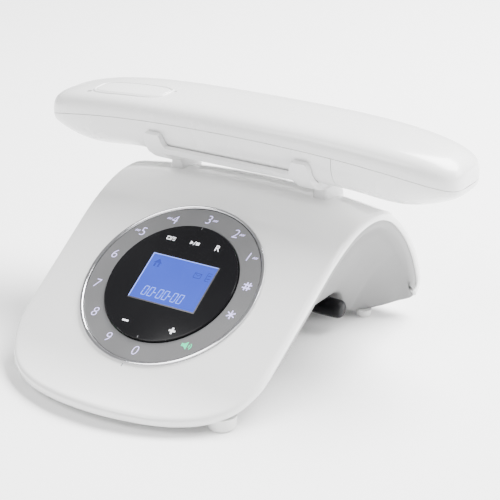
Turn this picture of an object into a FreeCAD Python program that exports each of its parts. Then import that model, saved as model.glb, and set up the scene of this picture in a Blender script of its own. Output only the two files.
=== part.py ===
import FreeCAD, Part
import math
import os
import Sketcher
from FreeCAD import Placement, Rotation, Vector

# Compact cordless phone: an arched white base with a round dial deck, and a handset across it.
# Frame: millimetres, +X right along the handset, -Y front, +Z up, origin on the table under
# the middle of the object.

DIMENSIONS = {
    # base
    "dial_radius": 41.0, "deck_angle": 33.6, "dial_y": -24.1, "dial_height": 37.6,
    "deck_drop": 0.8, "cover_wall": 4.0, "housing_wall": 2.2, "housing_gap": 0.15,
    "front_half_width": 61.5, "rear_half_width": 65.5, "front_outline_depth": 40.0,
    "keel_half_width": 41.0, "lip_half_width": 60.6, "lip_depth": 4.0,
    "bottom_height": 2.0, "arch_height": 17.0,
    # dial stack, heights measured down from the bezel's top
    "bezel_width": 1.5, "bezel_skirt": 0.7, "bezel_skirt_depth": 4.0, "deck_hole_radius": 40.3,
    "ring_inner": 29.8, "ring_outer": 39.35, "ring_thick": 1.2, "ring_top": 0.7,
    "glass_radius": 29.6, "glass_thick": 1.8, "glass_proud": 0.3,
    "guide_thick": 1.9, "board_thick": 1.2, "touch_board_radius": 38.6, "touch_board_top": 4.0,
    "lcd_width": 38.0, "lcd_height": 29.0, "lcd_thick": 2.2, "lcd_shift": 1.5,
    "frame_wall": 1.6, "frame_depth": 4.6, "backlight_thick": 1.2,
    "tray_radius": 39.2, "tray_wall": 1.6, "tray_top": 5.4, "tray_depth": 5.0,
    "main_board_width": 74.0, "main_board_length": 50.0, "main_board_thick": 1.6,
    "main_board_level": 16.0, "shield_size": 22.0, "shield_height": 2.6,
    "ballast_width": 60.0, "ballast_length": 26.0, "ballast_thick": 5.0,
    "speaker_radius": 10.8, "speaker_depth": 5.0, "mic_radius": 3.0, "mic_depth": 2.4,
    "pipe_width": 1.0, "pipe_length": 6.6, "pipe_depth": 4.6,
    # feet and screws
    "front_foot_radius": 6.2, "front_foot_height": 10.0, "front_foot_x": 49.0, "front_foot_y": -60.0,
    "rear_foot_radius": 3.8, "rear_foot_height": 8.0, "rear_foot_x": 46.6, "rear_foot_y": 63.4,
    "screw_radius": 1.3, "screw_head_radius": 2.6, "screw_head_depth": 1.6, "screw_length": 9.0,
    # cradle
    "cradle_half": 42.0, "cradle_wall": 2.8, "cradle_gap": 0.4, "rail_top": 79.4,
    "rail_bottom": 75.8, "window_half": 32.5, "lobe_top": 85.4, "lobe_width": 9.0, "lobe_x": 37.5,
    "stem_width": 8.0, "stem_depth": 15.0, "stem_foot": 52.0, "stem_x": 37.5, "stem_gap": 0.3,
    "pin_radius": 1.2, "pin_collar_radius": 2.1, "pin_collar_thick": 1.0, "pin_length": 6.7,
    "pin_tip": 72.7, "pin_clearance": 0.15, "spring_radius": 1.75, "spring_wall": 0.5,
    "contact_plate": 8.0, "contact_plate_thick": 0.6,
    # handset
    "handset_half": 104.3, "handset_y": 40.6, "handset_half_width": 22.6, "seam_height": 90.4,
    "crown": 9.4, "belly": 19.1, "end_pad": 6.0, "end_pad_x": 84.5, "end_pad_reach": 22.5,
    "shell_wall": 2.0, "seam_gap": 0.15, "cover_edge": 51.4, "cover_gap": 0.3,
    "key_half_length": 19.0, "key_half_width": 7.0, "key_corner": 6.6, "key_x": -59.4, "key_y": 32.8,
    "cell_radius": 5.2, "cell_length": 29.5, "cell_x": 70.0, "cell_level": 85.4,
    "receiver_radius": 10.5, "receiver_depth": 4.5, "ringer_radius": 7.0, "ringer_depth": 3.0,
    "handset_board_length": 96.0, "handset_board_width": 24.0, "switch_size": 6.0, "switch_height": 8.4,
    "rim_width": 0.9, "rim_proud": 0.3, "key_skin": 1.6, "key_clearance": 0.3,
    "contact_length": 6.0, "contact_width": 5.0, "contact_thick": 2.4,
    # power lead
    "jack_width": 9.0, "jack_height": 10.0, "plug_radius": 3.6, "plug_length": 16.5,
    "plug_x": 43.6, "plug_y": 42.6, "plug_height": 10.8, "barrel_radius": 2.75, "barrel_length": 9.0,
    "lead_radius": 1.6, "relief_length": 20.0, "coil_middle_radius": 17.6, "coil_band": 12.8,
    "coil_height": 12.8, "coil_x": -82.0, "coil_y": 98.0, "coil_level": 0.9,
    "tie_thick": 0.8, "tie_width": 8.0,
    "adapter_width": 50.0, "adapter_depth": 36.0, "adapter_height": 27.0,
    "adapter_x": -30.0, "adapter_y": 117.0, "adapter_relief": 14.0,
    "mains_pin_radius": 2.0, "mains_pin_length": 19.0,
    "mains_pin_spacing": 19.0,
}

doc = FreeCAD.newDocument("bedroom_phone")
sheet = doc.addObject("Spreadsheet::Sheet", "dims")
for row, (alias, value) in enumerate(DIMENSIONS.items(), start=1):
    sheet.set(f"A{row}", alias)
    sheet.set(f"B{row}", str(value))
    sheet.setAlias(f"B{row}", alias)
doc.recompute()

parts = []


def size(alias):
    return float(getattr(sheet, alias))


def keep(obj, label, place=None):
    """Makes obj one of the sub-parts: its label names its file."""
    obj.Label = label
    if place is not None:
        obj.Placement = place
    parts.append(obj)
    return obj


def bind(obj, **expressions):
    for prop, expression in expressions.items():
        obj.setExpression(prop, expression)


def box(name, length, width, height, centre, bottom, turn=None):
    """A block with its base centred on the point (x, y, bottom)."""
    obj = doc.addObject("Part::Box", name)
    bind(obj, Length=length, Width=width, Height=height)
    doc.recompute()
    corner = Vector(-obj.Length.Value / 2, -obj.Width.Value / 2, 0)
    spin = turn or Rotation()
    obj.Placement = Placement(Vector(centre[0], centre[1], bottom) + spin.multVec(corner), spin)
    return obj


def cylinder(name, radius, height, base, axis=Vector(0, 0, 1)):
    obj = doc.addObject("Part::Cylinder", name)
    bind(obj, Radius=radius, Height=height)
    obj.Placement = Placement(Vector(*base), Rotation(Vector(0, 0, 1), Vector(axis)))
    return obj


def cut(name, base, tool):
    obj = doc.addObject("Part::Cut", name)
    obj.Base, obj.Tool = base, tool
    return obj


def fuse(name, shapes):
    obj = doc.addObject("Part::MultiFuse", name)
    obj.Shapes = shapes
    return obj


def common(name, first, second):
    obj = doc.addObject("Part::MultiCommon", name)
    obj.Shapes = [first, second]
    return obj


def solid(name, shape):
    """A shape made by Part's own functions, for the lofted shells and swept tubes."""
    obj = doc.addObject("Part::Feature", name)
    obj.Shape = shape
    return obj


def group(name, shapes):
    obj = doc.addObject("Part::Compound", name)
    obj.Links = shapes
    return obj


# ---- sketches and bodies -------------------------------------------------------------------


def new_body(name):
    return doc.addObject("PartDesign::Body", name)


def attach(body, role):
    sketch = body.newObject("Sketcher::SketchObject", body.Name + "_" + role[:2])
    plane = [f for f in body.Origin.OriginFeatures if f.Role == role][0]
    sketch.AttachmentSupport = [(plane, "")]
    sketch.MapMode = "FlatFace"
    return sketch


def pin_down(sketch, constraint, expression):
    index = sketch.addConstraint(constraint)
    sketch.setExpression(f"Constraints[{index}]", expression)


def rectangle(sketch, length, width):
    """A rectangle centred on the sketch's origin, its sides bound to two expressions."""
    corners = [Vector(-1, -1, 0), Vector(1, -1, 0), Vector(1, 1, 0), Vector(-1, 1, 0)]
    for i in range(4):
        sketch.addGeometry(Part.LineSegment(corners[i], corners[(i + 1) % 4]), False)
    for i in range(4):
        sketch.addConstraint(Sketcher.Constraint("Coincident", i, 2, (i + 1) % 4, 1))
    for i, kind in enumerate(("Horizontal", "Vertical", "Horizontal", "Vertical")):
        sketch.addConstraint(Sketcher.Constraint(kind, i))
    sketch.addConstraint(Sketcher.Constraint("Symmetric", 0, 1, 1, 2, -1, 1))
    pin_down(sketch, Sketcher.Constraint("DistanceX", 0, 1, 0, 2, 2.0), length)
    pin_down(sketch, Sketcher.Constraint("DistanceY", 1, 1, 1, 2, 2.0), width)


def circle(sketch, radius):
    sketch.addGeometry(Part.Circle(Vector(0, 0, 0), Vector(0, 0, 1), 1.0), False)
    sketch.addConstraint(Sketcher.Constraint("Coincident", 0, 3, -1, 1))
    pin_down(sketch, Sketcher.Constraint("Radius", 0, 1.0), radius)


def outline(sketch, corners):
    """A closed outline whose corners are pairs of expressions from the sketch's origin."""
    values = [tuple(sheet_value(e) for e in corner) for corner in corners]
    count = len(values)
    for i in range(count):
        start, end = values[i], values[(i + 1) % count]
        sketch.addGeometry(Part.LineSegment(Vector(*start, 0), Vector(*end, 0)), False)
    for i in range(count):
        sketch.addConstraint(Sketcher.Constraint("Coincident", i, 2, (i + 1) % count, 1))
    for i, corner in enumerate(corners):
        for axis, (kind, line) in enumerate((("DistanceX", -2), ("DistanceY", -1))):
            if abs(values[i][axis]) < 1e-9:
                sketch.addConstraint(Sketcher.Constraint("PointOnObject", i, 1, line))
            else:
                pin_down(sketch, Sketcher.Constraint(kind, -1, 1, i, 1, values[i][axis]), corner[axis])


def sheet_value(expression):
    """The number that a short expression in the sheet's aliases stands for."""
    total, sign = 0.0, 1.0
    for word in expression.replace("dims.", "").split():
        if word in "+-":
            sign = -1.0 if word == "-" else 1.0
        elif "*" in word:
            left, right = word.split("*")
            total += sign * float(left) * size(right)
        else:
            total += sign * (size(word) if word in DIMENSIONS else float(word))
    return total


def pad(body, sketch, length):
    feature = body.newObject("PartDesign::Pad", body.Name + "_pad")
    feature.Profile = sketch
    bind(feature, Length=length)
    return feature


def turned(name, corners):
    """A body turned about Z from an outline in (radius, height)."""
    body = new_body(name)
    sketch = attach(body, "XZ_Plane")
    outline(sketch, corners)
    feature = body.newObject("PartDesign::Revolution", name + "_turn")
    feature.Profile = sketch
    feature.ReferenceAxis = (sketch, ["V_Axis"])
    feature.Angle = 360
    return body


def plate(name, length, width, thick, hole=None):
    """A rectangular plate padded up from z 0, with an optional rectangular window."""
    body = new_body(name)
    sketch = attach(body, "XY_Plane")
    rectangle(sketch, length, width)
    pad(body, sketch, thick)
    if hole:
        doc.recompute()
        window = body.newObject("Sketcher::SketchObject", name + "_window")
        plane = [f for f in body.Origin.OriginFeatures if f.Role == "XY_Plane"][0]
        window.AttachmentSupport = [(plane, "")]
        window.MapMode = "FlatFace"
        rectangle(window, *hole)
        pocket = body.newObject("PartDesign::Pocket", name + "_pocket")
        pocket.Profile = window
        pocket.Type = "ThroughAll"
        pocket.Reversed = True
    return body


def round_edges(body, radius, choose):
    """Fillets the edges of the body's tip that the function picks."""
    doc.recompute()
    base = body.Tip
    names = [f"Edge{i + 1}" for i, edge in enumerate(base.Shape.Edges) if choose(edge)]
    fillet = body.newObject("PartDesign::Fillet", body.Name + "_fillet")
    fillet.Base = (base, names)
    fillet.Radius = radius
    return fillet


def upright(edge):
    return abs(edge.tangentAt(edge.FirstParameter).z) > 0.99


# ---- the base's arched side profile --------------------------------------------------------

DECK_TILT = math.radians(size("deck_angle"))
DIAL = Vector(0, size("dial_y"), size("dial_height"))
DIAL_PLACE = Placement(DIAL, Rotation(Vector(1, 0, 0), size("deck_angle")))
DECK_START = -39.8
DECK_LENGTH = 67.8
RIDGE_TRIM = 4.0
EDGE_DROP = 2.0
CURL_RADIUS = 16.5
CURL_TRIM = 8.3
FRONT_RADIUS = 41.0
FRONT_FLAT = 6.0
# The back of the arch: each stretch turns down by so many degrees at a radius.
BACK_ARCS = ((13.6, 96.0), (20.0, 51.0), (37.0, 36.0), (25.0, 72.0), (13.0, 57.0))
CURL_TURN = 75.0


def crown_share(x):
    """How far out towards the rear corner x lies, squared: the arch is crowned across."""
    return (x / size("rear_half_width")) ** 2


def walk(start, heading, stretches, step=6.0):
    """Points and headings along straight and round stretches: (length, turn in degrees)."""
    points = [(start[0], start[1], heading)]
    y, z, angle = start[0], start[1], heading
    for length, turn in stretches:
        steps = max(2, int(round(length / step)))
        for _ in range(steps):
            half = math.radians(turn) / steps / 2
            chord = length / steps * (math.sin(half) / half if half else 1.0)
            y += chord * math.cos(angle + half)
            z += chord * math.sin(angle + half)
            angle += 2 * half
            points.append((y, z, angle))
    return points


def arc_length(turn, radius):
    return math.radians(abs(turn)) * radius


def deck_walk(x):
    """The arch's outer line at x, from the front lip over the ridge to the rear curl."""
    share = crown_share(x)
    tilt = math.degrees(DECK_TILT)
    foot_y = DIAL.y + DECK_START * math.cos(DECK_TILT) + size("deck_drop") * math.sin(DECK_TILT)
    foot_z = DIAL.z + DECK_START * math.sin(DECK_TILT) - size("deck_drop") * math.cos(DECK_TILT)
    start_y = foot_y - FRONT_RADIUS * math.sin(DECK_TILT) - FRONT_FLAT
    start_z = foot_z - FRONT_RADIUS * (1 - math.cos(DECK_TILT)) - EDGE_DROP * share
    stretches = [(FRONT_FLAT, 0), (arc_length(tilt, FRONT_RADIUS), tilt)]
    stretches.append((DECK_LENGTH - RIDGE_TRIM * share, 0))
    stretches += [(arc_length(turn, radius), -turn) for turn, radius in BACK_ARCS]
    stretches.append((arc_length(CURL_TURN, CURL_RADIUS - CURL_TRIM * share), -CURL_TURN))
    return walk((start_y, start_z), 0.0, stretches)


def inset(points, depth):
    """The same line moved to its right-hand side, which is the inside of the arch."""
    return [(y + depth * math.sin(a), z - depth * math.cos(a)) for y, z, a in points]


def spline(points, x):
    curve = Part.BSplineCurve()
    curve.interpolate([Vector(x, y, z) for y, z in points])
    return curve.toShape()


def closed_wire(first, second, x):
    """Two splines that run opposite ways, closed by straight ends."""
    edges = [
        spline(first, x),
        Part.LineSegment(Vector(x, *first[-1]), Vector(x, *second[0])).toShape(),
        spline(second, x),
        Part.LineSegment(Vector(x, *second[-1]), Vector(x, *first[0])).toShape(),
    ]
    return Part.Wire(edges)


def cover_section(x):
    line = deck_walk(x)
    return closed_wire(inset(line, 0), inset(line, size("cover_wall"))[::-1], x)


COVER_STATIONS = (-1.0, -0.75, -0.5, -0.25, 0.0, 0.25, 0.5, 0.75, 1.0)


def plan_outline():
    """The base seen from above: a half-ellipse front and slightly flared sides."""
    half, rear = size("front_half_width"), size("rear_half_width")
    depth = size("front_outline_depth")
    front = -84.8
    middle = front + depth
    ellipse = Part.Ellipse(Vector(0, middle, -5), half, depth)
    nose = Part.Arc(ellipse, math.pi, 2 * math.pi)
    back = 100.0
    corners = [Vector(half, middle, -5), Vector(rear, back, -5), Vector(-rear, back, -5)]
    corners.append(Vector(-half, middle, -5))
    sides = [Part.LineSegment(corners[i], corners[i + 1]).toShape() for i in range(3)]
    return Part.Face(Part.Wire([nose.toShape()] + sides)).extrude(Vector(0, 0, 120))


def make_deck_cover():
    reach = size("rear_half_width") + 1.0
    sections = [cover_section(share * reach) for share in COVER_STATIONS]
    band = solid("cover_band", Part.makeLoft(sections, True, False))
    prism = solid("cover_outline", plan_outline())
    shell = common("cover_trimmed", band, prism)
    hole = cylinder("cover_dial_hole", "dims.deck_hole_radius", "30", (0, 0, 0))
    hole.Placement = DIAL_PLACE.multiply(Placement(Vector(0, 0, -20), Rotation()))
    slots = [
        box(f"cover_slot_{i}", "dims.stem_width + 2 * dims.stem_gap",
            "dims.stem_depth + 2 * dims.stem_gap", "40", (side * size("stem_x"), size("handset_y")), 40)
        for i, side in enumerate((-1, 1))
    ]
    pipe_slot = box("cover_pipe_slot", "dims.pipe_width + 0.2", "dims.pipe_length + 0.2", "20", (0, 0), 0)
    pipe_slot.Placement = DIAL_PLACE.multiply(pipe_place(-10.0, 0.1))
    tools = fuse("cover_openings", [hole, pipe_slot] + slots)
    keep(cut("deck_cover", shell, tools), "deck_cover")


def pipe_place(level, margin):
    """Where the finger-stop light pipe lies on the deck, just below the bezel."""
    x = -size("pipe_width") / 2 - margin
    y = -size("dial_radius") - 0.6 - size("pipe_length") - margin
    return Placement(Vector(x, y, level), Rotation())


# ---- the lower housing ---------------------------------------------------------------------

HOUSING_SAMPLES = 36
ARCH_FRONT, ARCH_BACK = 18.0, 41.5
POD_TURN, POD_RADIUS = 55.0, 8.0
RAMP_TURN, RAMP_RADIUS = 34.0, 10.0
KEEL_FRONT, LIP_FRONT = -54.0, -38.0
OPEN_TOP = 3.0
CAVITY_STEPS = (0.0, 4.0, 8.0, 12.0)
STEP_WALL = 2.4
REAR_END = 74.6
FOOT_TRIM_X = 55.0


def resample(points, count):
    """The same line in count evenly spaced points."""
    lengths = [0.0]
    for (y0, z0), (y1, z1) in zip(points, points[1:]):
        lengths.append(lengths[-1] + math.hypot(y1 - y0, z1 - z0))
    result, k = [], 0
    for i in range(count):
        target = lengths[-1] * i / (count - 1)
        while k < len(points) - 2 and lengths[k + 1] < target:
            k += 1
        share = (target - lengths[k]) / (lengths[k + 1] - lengths[k])
        y = points[k][0] + share * (points[k + 1][0] - points[k][0])
        z = points[k][1] + share * (points[k + 1][1] - points[k][1])
        result.append((y, z))
    return result


def slanted(rise, turn, radius):
    """The straight length of a slope that rises so far between two arcs, and its run."""
    angle = math.radians(turn)
    straight = (rise - 2 * radius * (1 - math.cos(angle))) / math.sin(angle)
    return straight, 2 * radius * math.sin(angle) + straight * math.cos(angle)


def keel_line():
    """The underside at the middle, from the rear curl over the arch to the front."""
    tail_y, tail_z, heading = deck_walk(0.0)[-1]
    flat_turn = -180.0 - math.degrees(heading)
    rise = size("arch_height") - size("bottom_height")
    pod_straight, pod_run = slanted(rise, POD_TURN, POD_RADIUS)
    ramp_straight, ramp_run = slanted(rise, RAMP_TURN, RAMP_RADIUS)
    curl = CURL_RADIUS
    bottom_y = tail_y - curl * math.sin(math.radians(abs(flat_turn)))
    pod_flat = bottom_y - pod_run - ARCH_BACK
    stretches = [
        (arc_length(flat_turn, curl), flat_turn),
        (pod_flat, 0),
        (arc_length(POD_TURN, POD_RADIUS), -POD_TURN),
        (pod_straight, 0),
        (arc_length(POD_TURN, POD_RADIUS), POD_TURN),
        (ARCH_BACK - ARCH_FRONT, 0),
        (arc_length(RAMP_TURN, RAMP_RADIUS), RAMP_TURN),
        (ramp_straight, 0),
        (arc_length(RAMP_TURN, RAMP_RADIUS), -RAMP_TURN),
        (ARCH_FRONT - ramp_run - KEEL_FRONT, 0),
    ]
    return walk((tail_y, tail_z), heading, stretches, step=3.0)


def skin_lines(share):
    """The housing's upper and lower lines, from the keel at share 0 out to the lip at share 1."""
    roof = size("cover_wall") + size("housing_gap")
    keel_deck = [p for p in deck_walk(size("keel_half_width")) if p[0] > KEEL_FRONT]
    lip_deck = [p for p in deck_walk(size("lip_half_width")) if p[0] > LIP_FRONT]
    inner = (inset(keel_deck, roof), inset(keel_line(), 0))
    outer = (inset(lip_deck, roof), inset(lip_deck, roof + size("lip_depth"))[::-1])
    lines = []
    for near, far in zip(inner, outer):
        pairs = zip(resample(near, HOUSING_SAMPLES), resample(far, HOUSING_SAMPLES))
        lines.append([(a[0] + share * (b[0] - a[0]), a[1] + share * (b[1] - a[1])) for a, b in pairs])
    return lines


def with_headings(points):
    result = []
    for i, (y, z) in enumerate(points):
        before, after = points[max(i - 1, 0)], points[min(i + 1, len(points) - 1)]
        result.append((y, z, math.atan2(after[1] - before[1], after[0] - before[0])))
    return result


def skin_face(share, x):
    upper, lower = skin_lines(share)
    return Part.Face(closed_wire(upper, lower, x))


def cavity(share, x, reach):
    """The hollow left inside the skin at this share, as a prism that opens up into the cover."""
    upper, lower = skin_lines(share)
    roof = inset(with_headings(upper), -OPEN_TOP)[1:-1]
    floor = inset(with_headings(lower), size("housing_wall"))[1:-1]
    return Part.Face(closed_wire(roof, floor, x)).extrude(Vector(reach, 0, 0))


def make_lower_housing():
    """The bottom moulding: a keel that rises in an arch, and side walls that lean in under the cover."""
    keel, lip = size("keel_half_width"), size("lip_half_width")
    middle = skin_face(0.0, -keel).extrude(Vector(2 * keel, 0, 0)).cut(cavity(0.0, -keel, 2 * keel))
    dial_room = Part.makeCylinder(size("tray_radius") + 0.4, 12.0, Vector(0, 0, -11.0))
    dial_room.Placement = DIAL_PLACE.multiply(dial_room.Placement)
    rear_room = Part.makeBox(200, 20, 9, Vector(-100, REAR_END, 0))
    middle = middle.cut(dial_room).cut(rear_room)
    for x, y, radius in HOUSING_HOLES:
        middle = middle.cut(Part.makeCylinder(radius, size("arch_height"), Vector(x, y, 8)))
    slot = Part.makeBox(LINE_SLOT[0], LINE_SLOT[1], size("arch_height"))
    slot.translate(Vector(LINE_SOCKET[0] - LINE_SLOT[0] / 2, LINE_SOCKET[1] - LINE_SLOT[1] / 2, 8))
    middle = middle.cut(slot)
    ends = [closed_wire(*skin_lines(0.0), keel), closed_wire(*skin_lines(1.0), lip)]
    blank = Part.makeLoft(ends, True, True)
    wall = blank
    for near, far in zip(CAVITY_STEPS, CAVITY_STEPS[1:]):
        share = (far + STEP_WALL) / (lip - keel)
        wall = wall.cut(cavity(share, keel + near, far - near))
    mirrored = wall.mirror(Vector(0, 0, 0), Vector(1, 0, 0))
    keep(solid("housing_mouldings", Part.makeCompound([middle, wall, mirrored])), "lower_housing")
    return blank


# ---- handset -------------------------------------------------------------------------------

HANDSET_STATIONS = (0.0, 0.28, 0.5, 0.66, 0.79, 0.885, 0.945, 0.98, 0.995, 0.9993)
PLAN_POWER, CROWN_END_POWER, BELLY_END_POWER = 4.4, 7.0, 2.72
CROWN_POWER, BELLY_POWER = 3.2, 2.42
SEAM_DROOP, SEAM_CURL, CROWN_RISE = 0.675, 0.117, 0.3


def seam_level(x):
    share = x / size("dial_radius")
    return size("seam_height") - SEAM_DROOP * share**2 - SEAM_CURL * share**4


def end_share(x, half, power):
    """How much of the full size is left at x, from 1 in the middle to 0 at the rounded ends."""
    return max(0.0, 1.0 - (abs(x) / half) ** power) ** (1.0 / power)


def belly_depth(x):
    """The depth under the seam before the ends round off: nearly level, with a pad near each end."""
    pad = size("end_pad") * math.exp(-(((abs(x) - size("end_pad_x")) / size("end_pad_reach")) ** 2))
    return size("belly") + pad - (size("seam_height") - seam_level(x))


def handset_section(x, side, skin, reach):
    """A closed section of the handset at x: side 1 above the seam, -1 below it.

    skin is how far inside the outer surface it lies, and reach how far it runs past the seam.
    """
    half, gap = size("handset_half") - skin, size("seam_gap")
    half_width = (size("handset_half_width") - skin) * end_share(x, half, PLAN_POWER)
    if side > 0:
        power = CROWN_POWER
        full = size("crown") + CROWN_RISE * (x / size("dial_radius")) ** 2
        height = (full - skin - gap) * end_share(x, half, CROWN_END_POWER)
    else:
        power = BELLY_POWER
        height = (belly_depth(x) - skin - gap) * end_share(x, half, BELLY_END_POWER)
    level = seam_level(x) + side * gap
    points = []
    count = 20
    for i in range(count + 1):
        angle = math.pi * i / count
        c, s = math.cos(angle), math.sin(angle)
        across = math.copysign(abs(c) ** (2 / power), c) * half_width
        points.append((size("handset_y") + across, level + side * height * s ** (2 / power)))
    curve = spline(points, x)
    first, last = Vector(x, *points[0]), Vector(x, *points[-1])
    if not reach:
        return Part.Wire([curve, Part.LineSegment(last, first).toShape()])
    past = Vector(0, 0, -side * reach)
    corners = [last, last + past, first + past, first]
    return Part.Wire([curve] + [Part.LineSegment(a, b).toShape() for a, b in zip(corners, corners[1:])])


def handset_loft(side, skin, reach):
    half = size("handset_half") - skin
    shares = [-s for s in HANDSET_STATIONS[:0:-1]] + list(HANDSET_STATIONS)
    return Part.makeLoft([handset_section(s * half, side, skin, reach) for s in shares], True, False)


# ---- base pieces ---------------------------------------------------------------------------

LINE_SOCKET = (-26.0, 29.8)
LINE_SLOT = (11.6, 9.0)
LINE_BODY = (13.0, 12.0, 9.5)
INSIDE_ARCH = 19.4
SPEAKER_PLACE = (0.0, 29.8)
JACK = (size("plug_x") - 8.6, size("plug_y"))
GRILLE_RADIUS = 6.0
HOUSING_HOLES = [(JACK[0], JACK[1], 3.2), (SPEAKER_PLACE[0], SPEAKER_PLACE[1], 0.9)] + [
    (
        SPEAKER_PLACE[0] + GRILLE_RADIUS * math.cos(math.radians(angle)),
        SPEAKER_PLACE[1] + GRILLE_RADIUS * math.sin(math.radians(angle)),
        0.9,
    )
    for angle in range(0, 360, 60)
]


def on_dial(x=0.0, y=0.0, level=0.0):
    """A place on the dial: x right, y up the deck, level above the bezel's top."""
    return DIAL_PLACE.multiply(Placement(Vector(x, y, level), Rotation()))


def make_dial():
    inner = "dims.dial_radius - dims.bezel_width"
    skirt = inner + " + dims.bezel_skirt"
    ledge = "dims.bezel_skirt_depth - dims.deck_drop"
    bezel = turned("dial_bezel", [
        (inner, "0"), (skirt, "0"), (skirt, ledge), ("dims.dial_radius", ledge),
        ("dims.dial_radius", "dims.bezel_skirt_depth - 0.3"),
        ("dims.dial_radius - 0.4", "dims.bezel_skirt_depth"),
        (inner + " + 0.4", "dims.bezel_skirt_depth"), (inner, "dims.bezel_skirt_depth - 0.3"),
    ])
    keep(bezel, "dial_bezel", on_dial(level=-size("bezel_skirt_depth")))
    ring = turned("dial_ring", [
        ("dims.ring_inner", "0"), ("dims.ring_outer", "0"),
        ("dims.ring_outer", "dims.ring_thick"), ("dims.ring_inner", "dims.ring_thick"),
    ])
    ring_bottom = -size("ring_top") - size("ring_thick")
    keep(ring, "dial_ring", on_dial(level=ring_bottom))
    guide = turned("light_guide", [
        ("dims.ring_inner + 0.4", "0"), ("dims.ring_outer - 0.2", "0"),
        ("dims.ring_outer - 0.2", "dims.guide_thick"), ("dims.ring_inner + 0.4", "dims.guide_thick"),
    ])
    keep(guide, "light_guide", on_dial(level=ring_bottom - size("guide_thick") - 0.05))
    glass = new_body("centre_glass")
    circle(attach(glass, "XY_Plane"), "dims.glass_radius")
    pad(glass, glass.Group[-1], "dims.glass_thick")
    keep(glass, "centre_glass", on_dial(level=size("glass_proud") - size("glass_thick")))
    tray = turned("dial_tray", [
        ("0", "0"), ("dims.tray_radius", "0"), ("dims.tray_radius", "dims.tray_depth"),
        ("dims.tray_radius - dims.tray_wall", "dims.tray_depth"),
        ("dims.tray_radius - dims.tray_wall", "dims.tray_wall"), ("0", "dims.tray_wall"),
    ])
    keep(tray, "dial_tray", on_dial(level=-size("tray_top") - size("tray_depth")))


def make_display():
    shift = size("lcd_shift")
    top = -size("glass_thick") + size("glass_proud") - 0.1
    width, height = "dims.lcd_width", "dims.lcd_height"
    frame = plate("lcd_frame", f"{width} + 2 * dims.frame_wall + 0.3",
                  f"{height} + 2 * dims.frame_wall + 0.3",
                  "dims.frame_depth", (f"{width} + 0.3", f"{height} + 0.3"))
    keep(frame, "lcd_frame", on_dial(shift, 0, top - size("frame_depth")))
    panel = plate("lcd_panel", width, height, "dims.lcd_thick")
    keep(panel, "lcd_panel", on_dial(shift, 0, top - size("lcd_thick")))
    light = plate("lcd_backlight", f"{width} - 1", f"{height} - 1", "dims.backlight_thick")
    level = top - size("lcd_thick") - size("backlight_thick") - 0.1
    keep(light, "lcd_backlight", on_dial(shift, 0, level))
    disc = cylinder("touch_disc", "dims.touch_board_radius", "dims.board_thick", (0, 0, 0))
    window = box("touch_window", f"{width} + 2 * dims.frame_wall + 1", f"{height} + 2 * dims.frame_wall + 1",
                 "6", (shift, 0), -2)
    board_level = -size("touch_board_top") - size("board_thick")
    keep(cut("touch_board", disc, window), "touch_board", on_dial(level=board_level))


def make_electronics():
    board = plate("main_board", "dims.main_board_width", "dims.main_board_length", "dims.main_board_thick")
    level = -size("main_board_level")
    board_y = 4.0
    keep(board, "main_board", on_dial(0, board_y, level - size("main_board_thick")))
    shield = box("radio_shield", "dims.shield_size", "dims.shield_size", "dims.shield_height", (0, 0), 0)
    corner = size("shield_size") / 2
    keep(shield, "radio_shield", on_dial(-20 - corner, board_y + 6 - corner, level))
    capacitor = cylinder("capacitor", "4", "4.4", (0, 0, 0))
    keep(capacitor, "power_capacitor", on_dial(22, board_y - 10, level))
    aerial = box("aerial", "40", "0.8", "8", (0, 34), 44)
    keep(aerial, "radio_aerial")
    ballast = plate("ballast", "dims.ballast_width", "dims.ballast_length", "dims.ballast_thick")
    inside = size("bottom_height") + size("housing_wall") + 0.2
    keep(ballast, "ballast_plate", Placement(Vector(0, -29, inside), Rotation()))
    mic = cylinder("base_mic", "dims.mic_radius", "dims.mic_depth", (22, -46, inside))
    keep(mic, "base_microphone")
    speaker = cylinder("base_speaker", "dims.speaker_radius", "dims.speaker_depth",
                       (*SPEAKER_PLACE, INSIDE_ARCH))
    keep(speaker, "base_speaker")
    line = box("line_body", str(LINE_BODY[0]), str(LINE_BODY[1]), str(LINE_BODY[2]), LINE_SOCKET, INSIDE_ARCH)
    mouth = box("line_mouth", str(LINE_SLOT[0] - 2), str(LINE_SLOT[1] - 2), "8", LINE_SOCKET, INSIDE_ARCH - 1)
    keep(cut("line_socket", line, mouth), "line_socket")
    stop = box("finger_stop", "dims.pipe_width", "dims.pipe_length", "dims.pipe_depth", (0, 0), 0)
    place = pipe_place(-size("deck_drop") + 0.1 - size("pipe_depth"), 0.0)
    keep(stop, "finger_stop_light", DIAL_PLACE.multiply(place))


def make_feet(wall):
    """Round feet: the front pair ends under the deck, the rear pair against the leaning side walls."""
    side_view = [(y, z) for y, z in inset(deck_walk(FOOT_TRIM_X), size("cover_wall") + 0.05) if y < 0]
    corners = [Vector(-80, y, z) for y, z in side_view]
    corners += [Vector(-80, 0, 60), Vector(-80, side_view[0][0], 60), corners[0]]
    above = solid("foot_trim_front", Part.Face(Part.makePolygon(corners)).extrude(Vector(160, 0, 0)))
    beside = solid("foot_trim_rear", Part.makeCompound([wall, wall.mirror(Vector(0, 0, 0), Vector(1, 0, 0))]))
    for label, trim in (("front", above), ("rear", beside)):
        feet = [
            cylinder(f"{label}_foot_{i}", f"dims.{label}_foot_radius", f"dims.{label}_foot_height",
                     (side * size(f"{label}_foot_x"), size(f"{label}_foot_y"), 0))
            for i, side in enumerate((-1, 1))
        ]
        keep(cut(f"{label}_feet_trim", group(f"{label}_foot_pair", feet), trim), f"{label}_feet")


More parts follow.
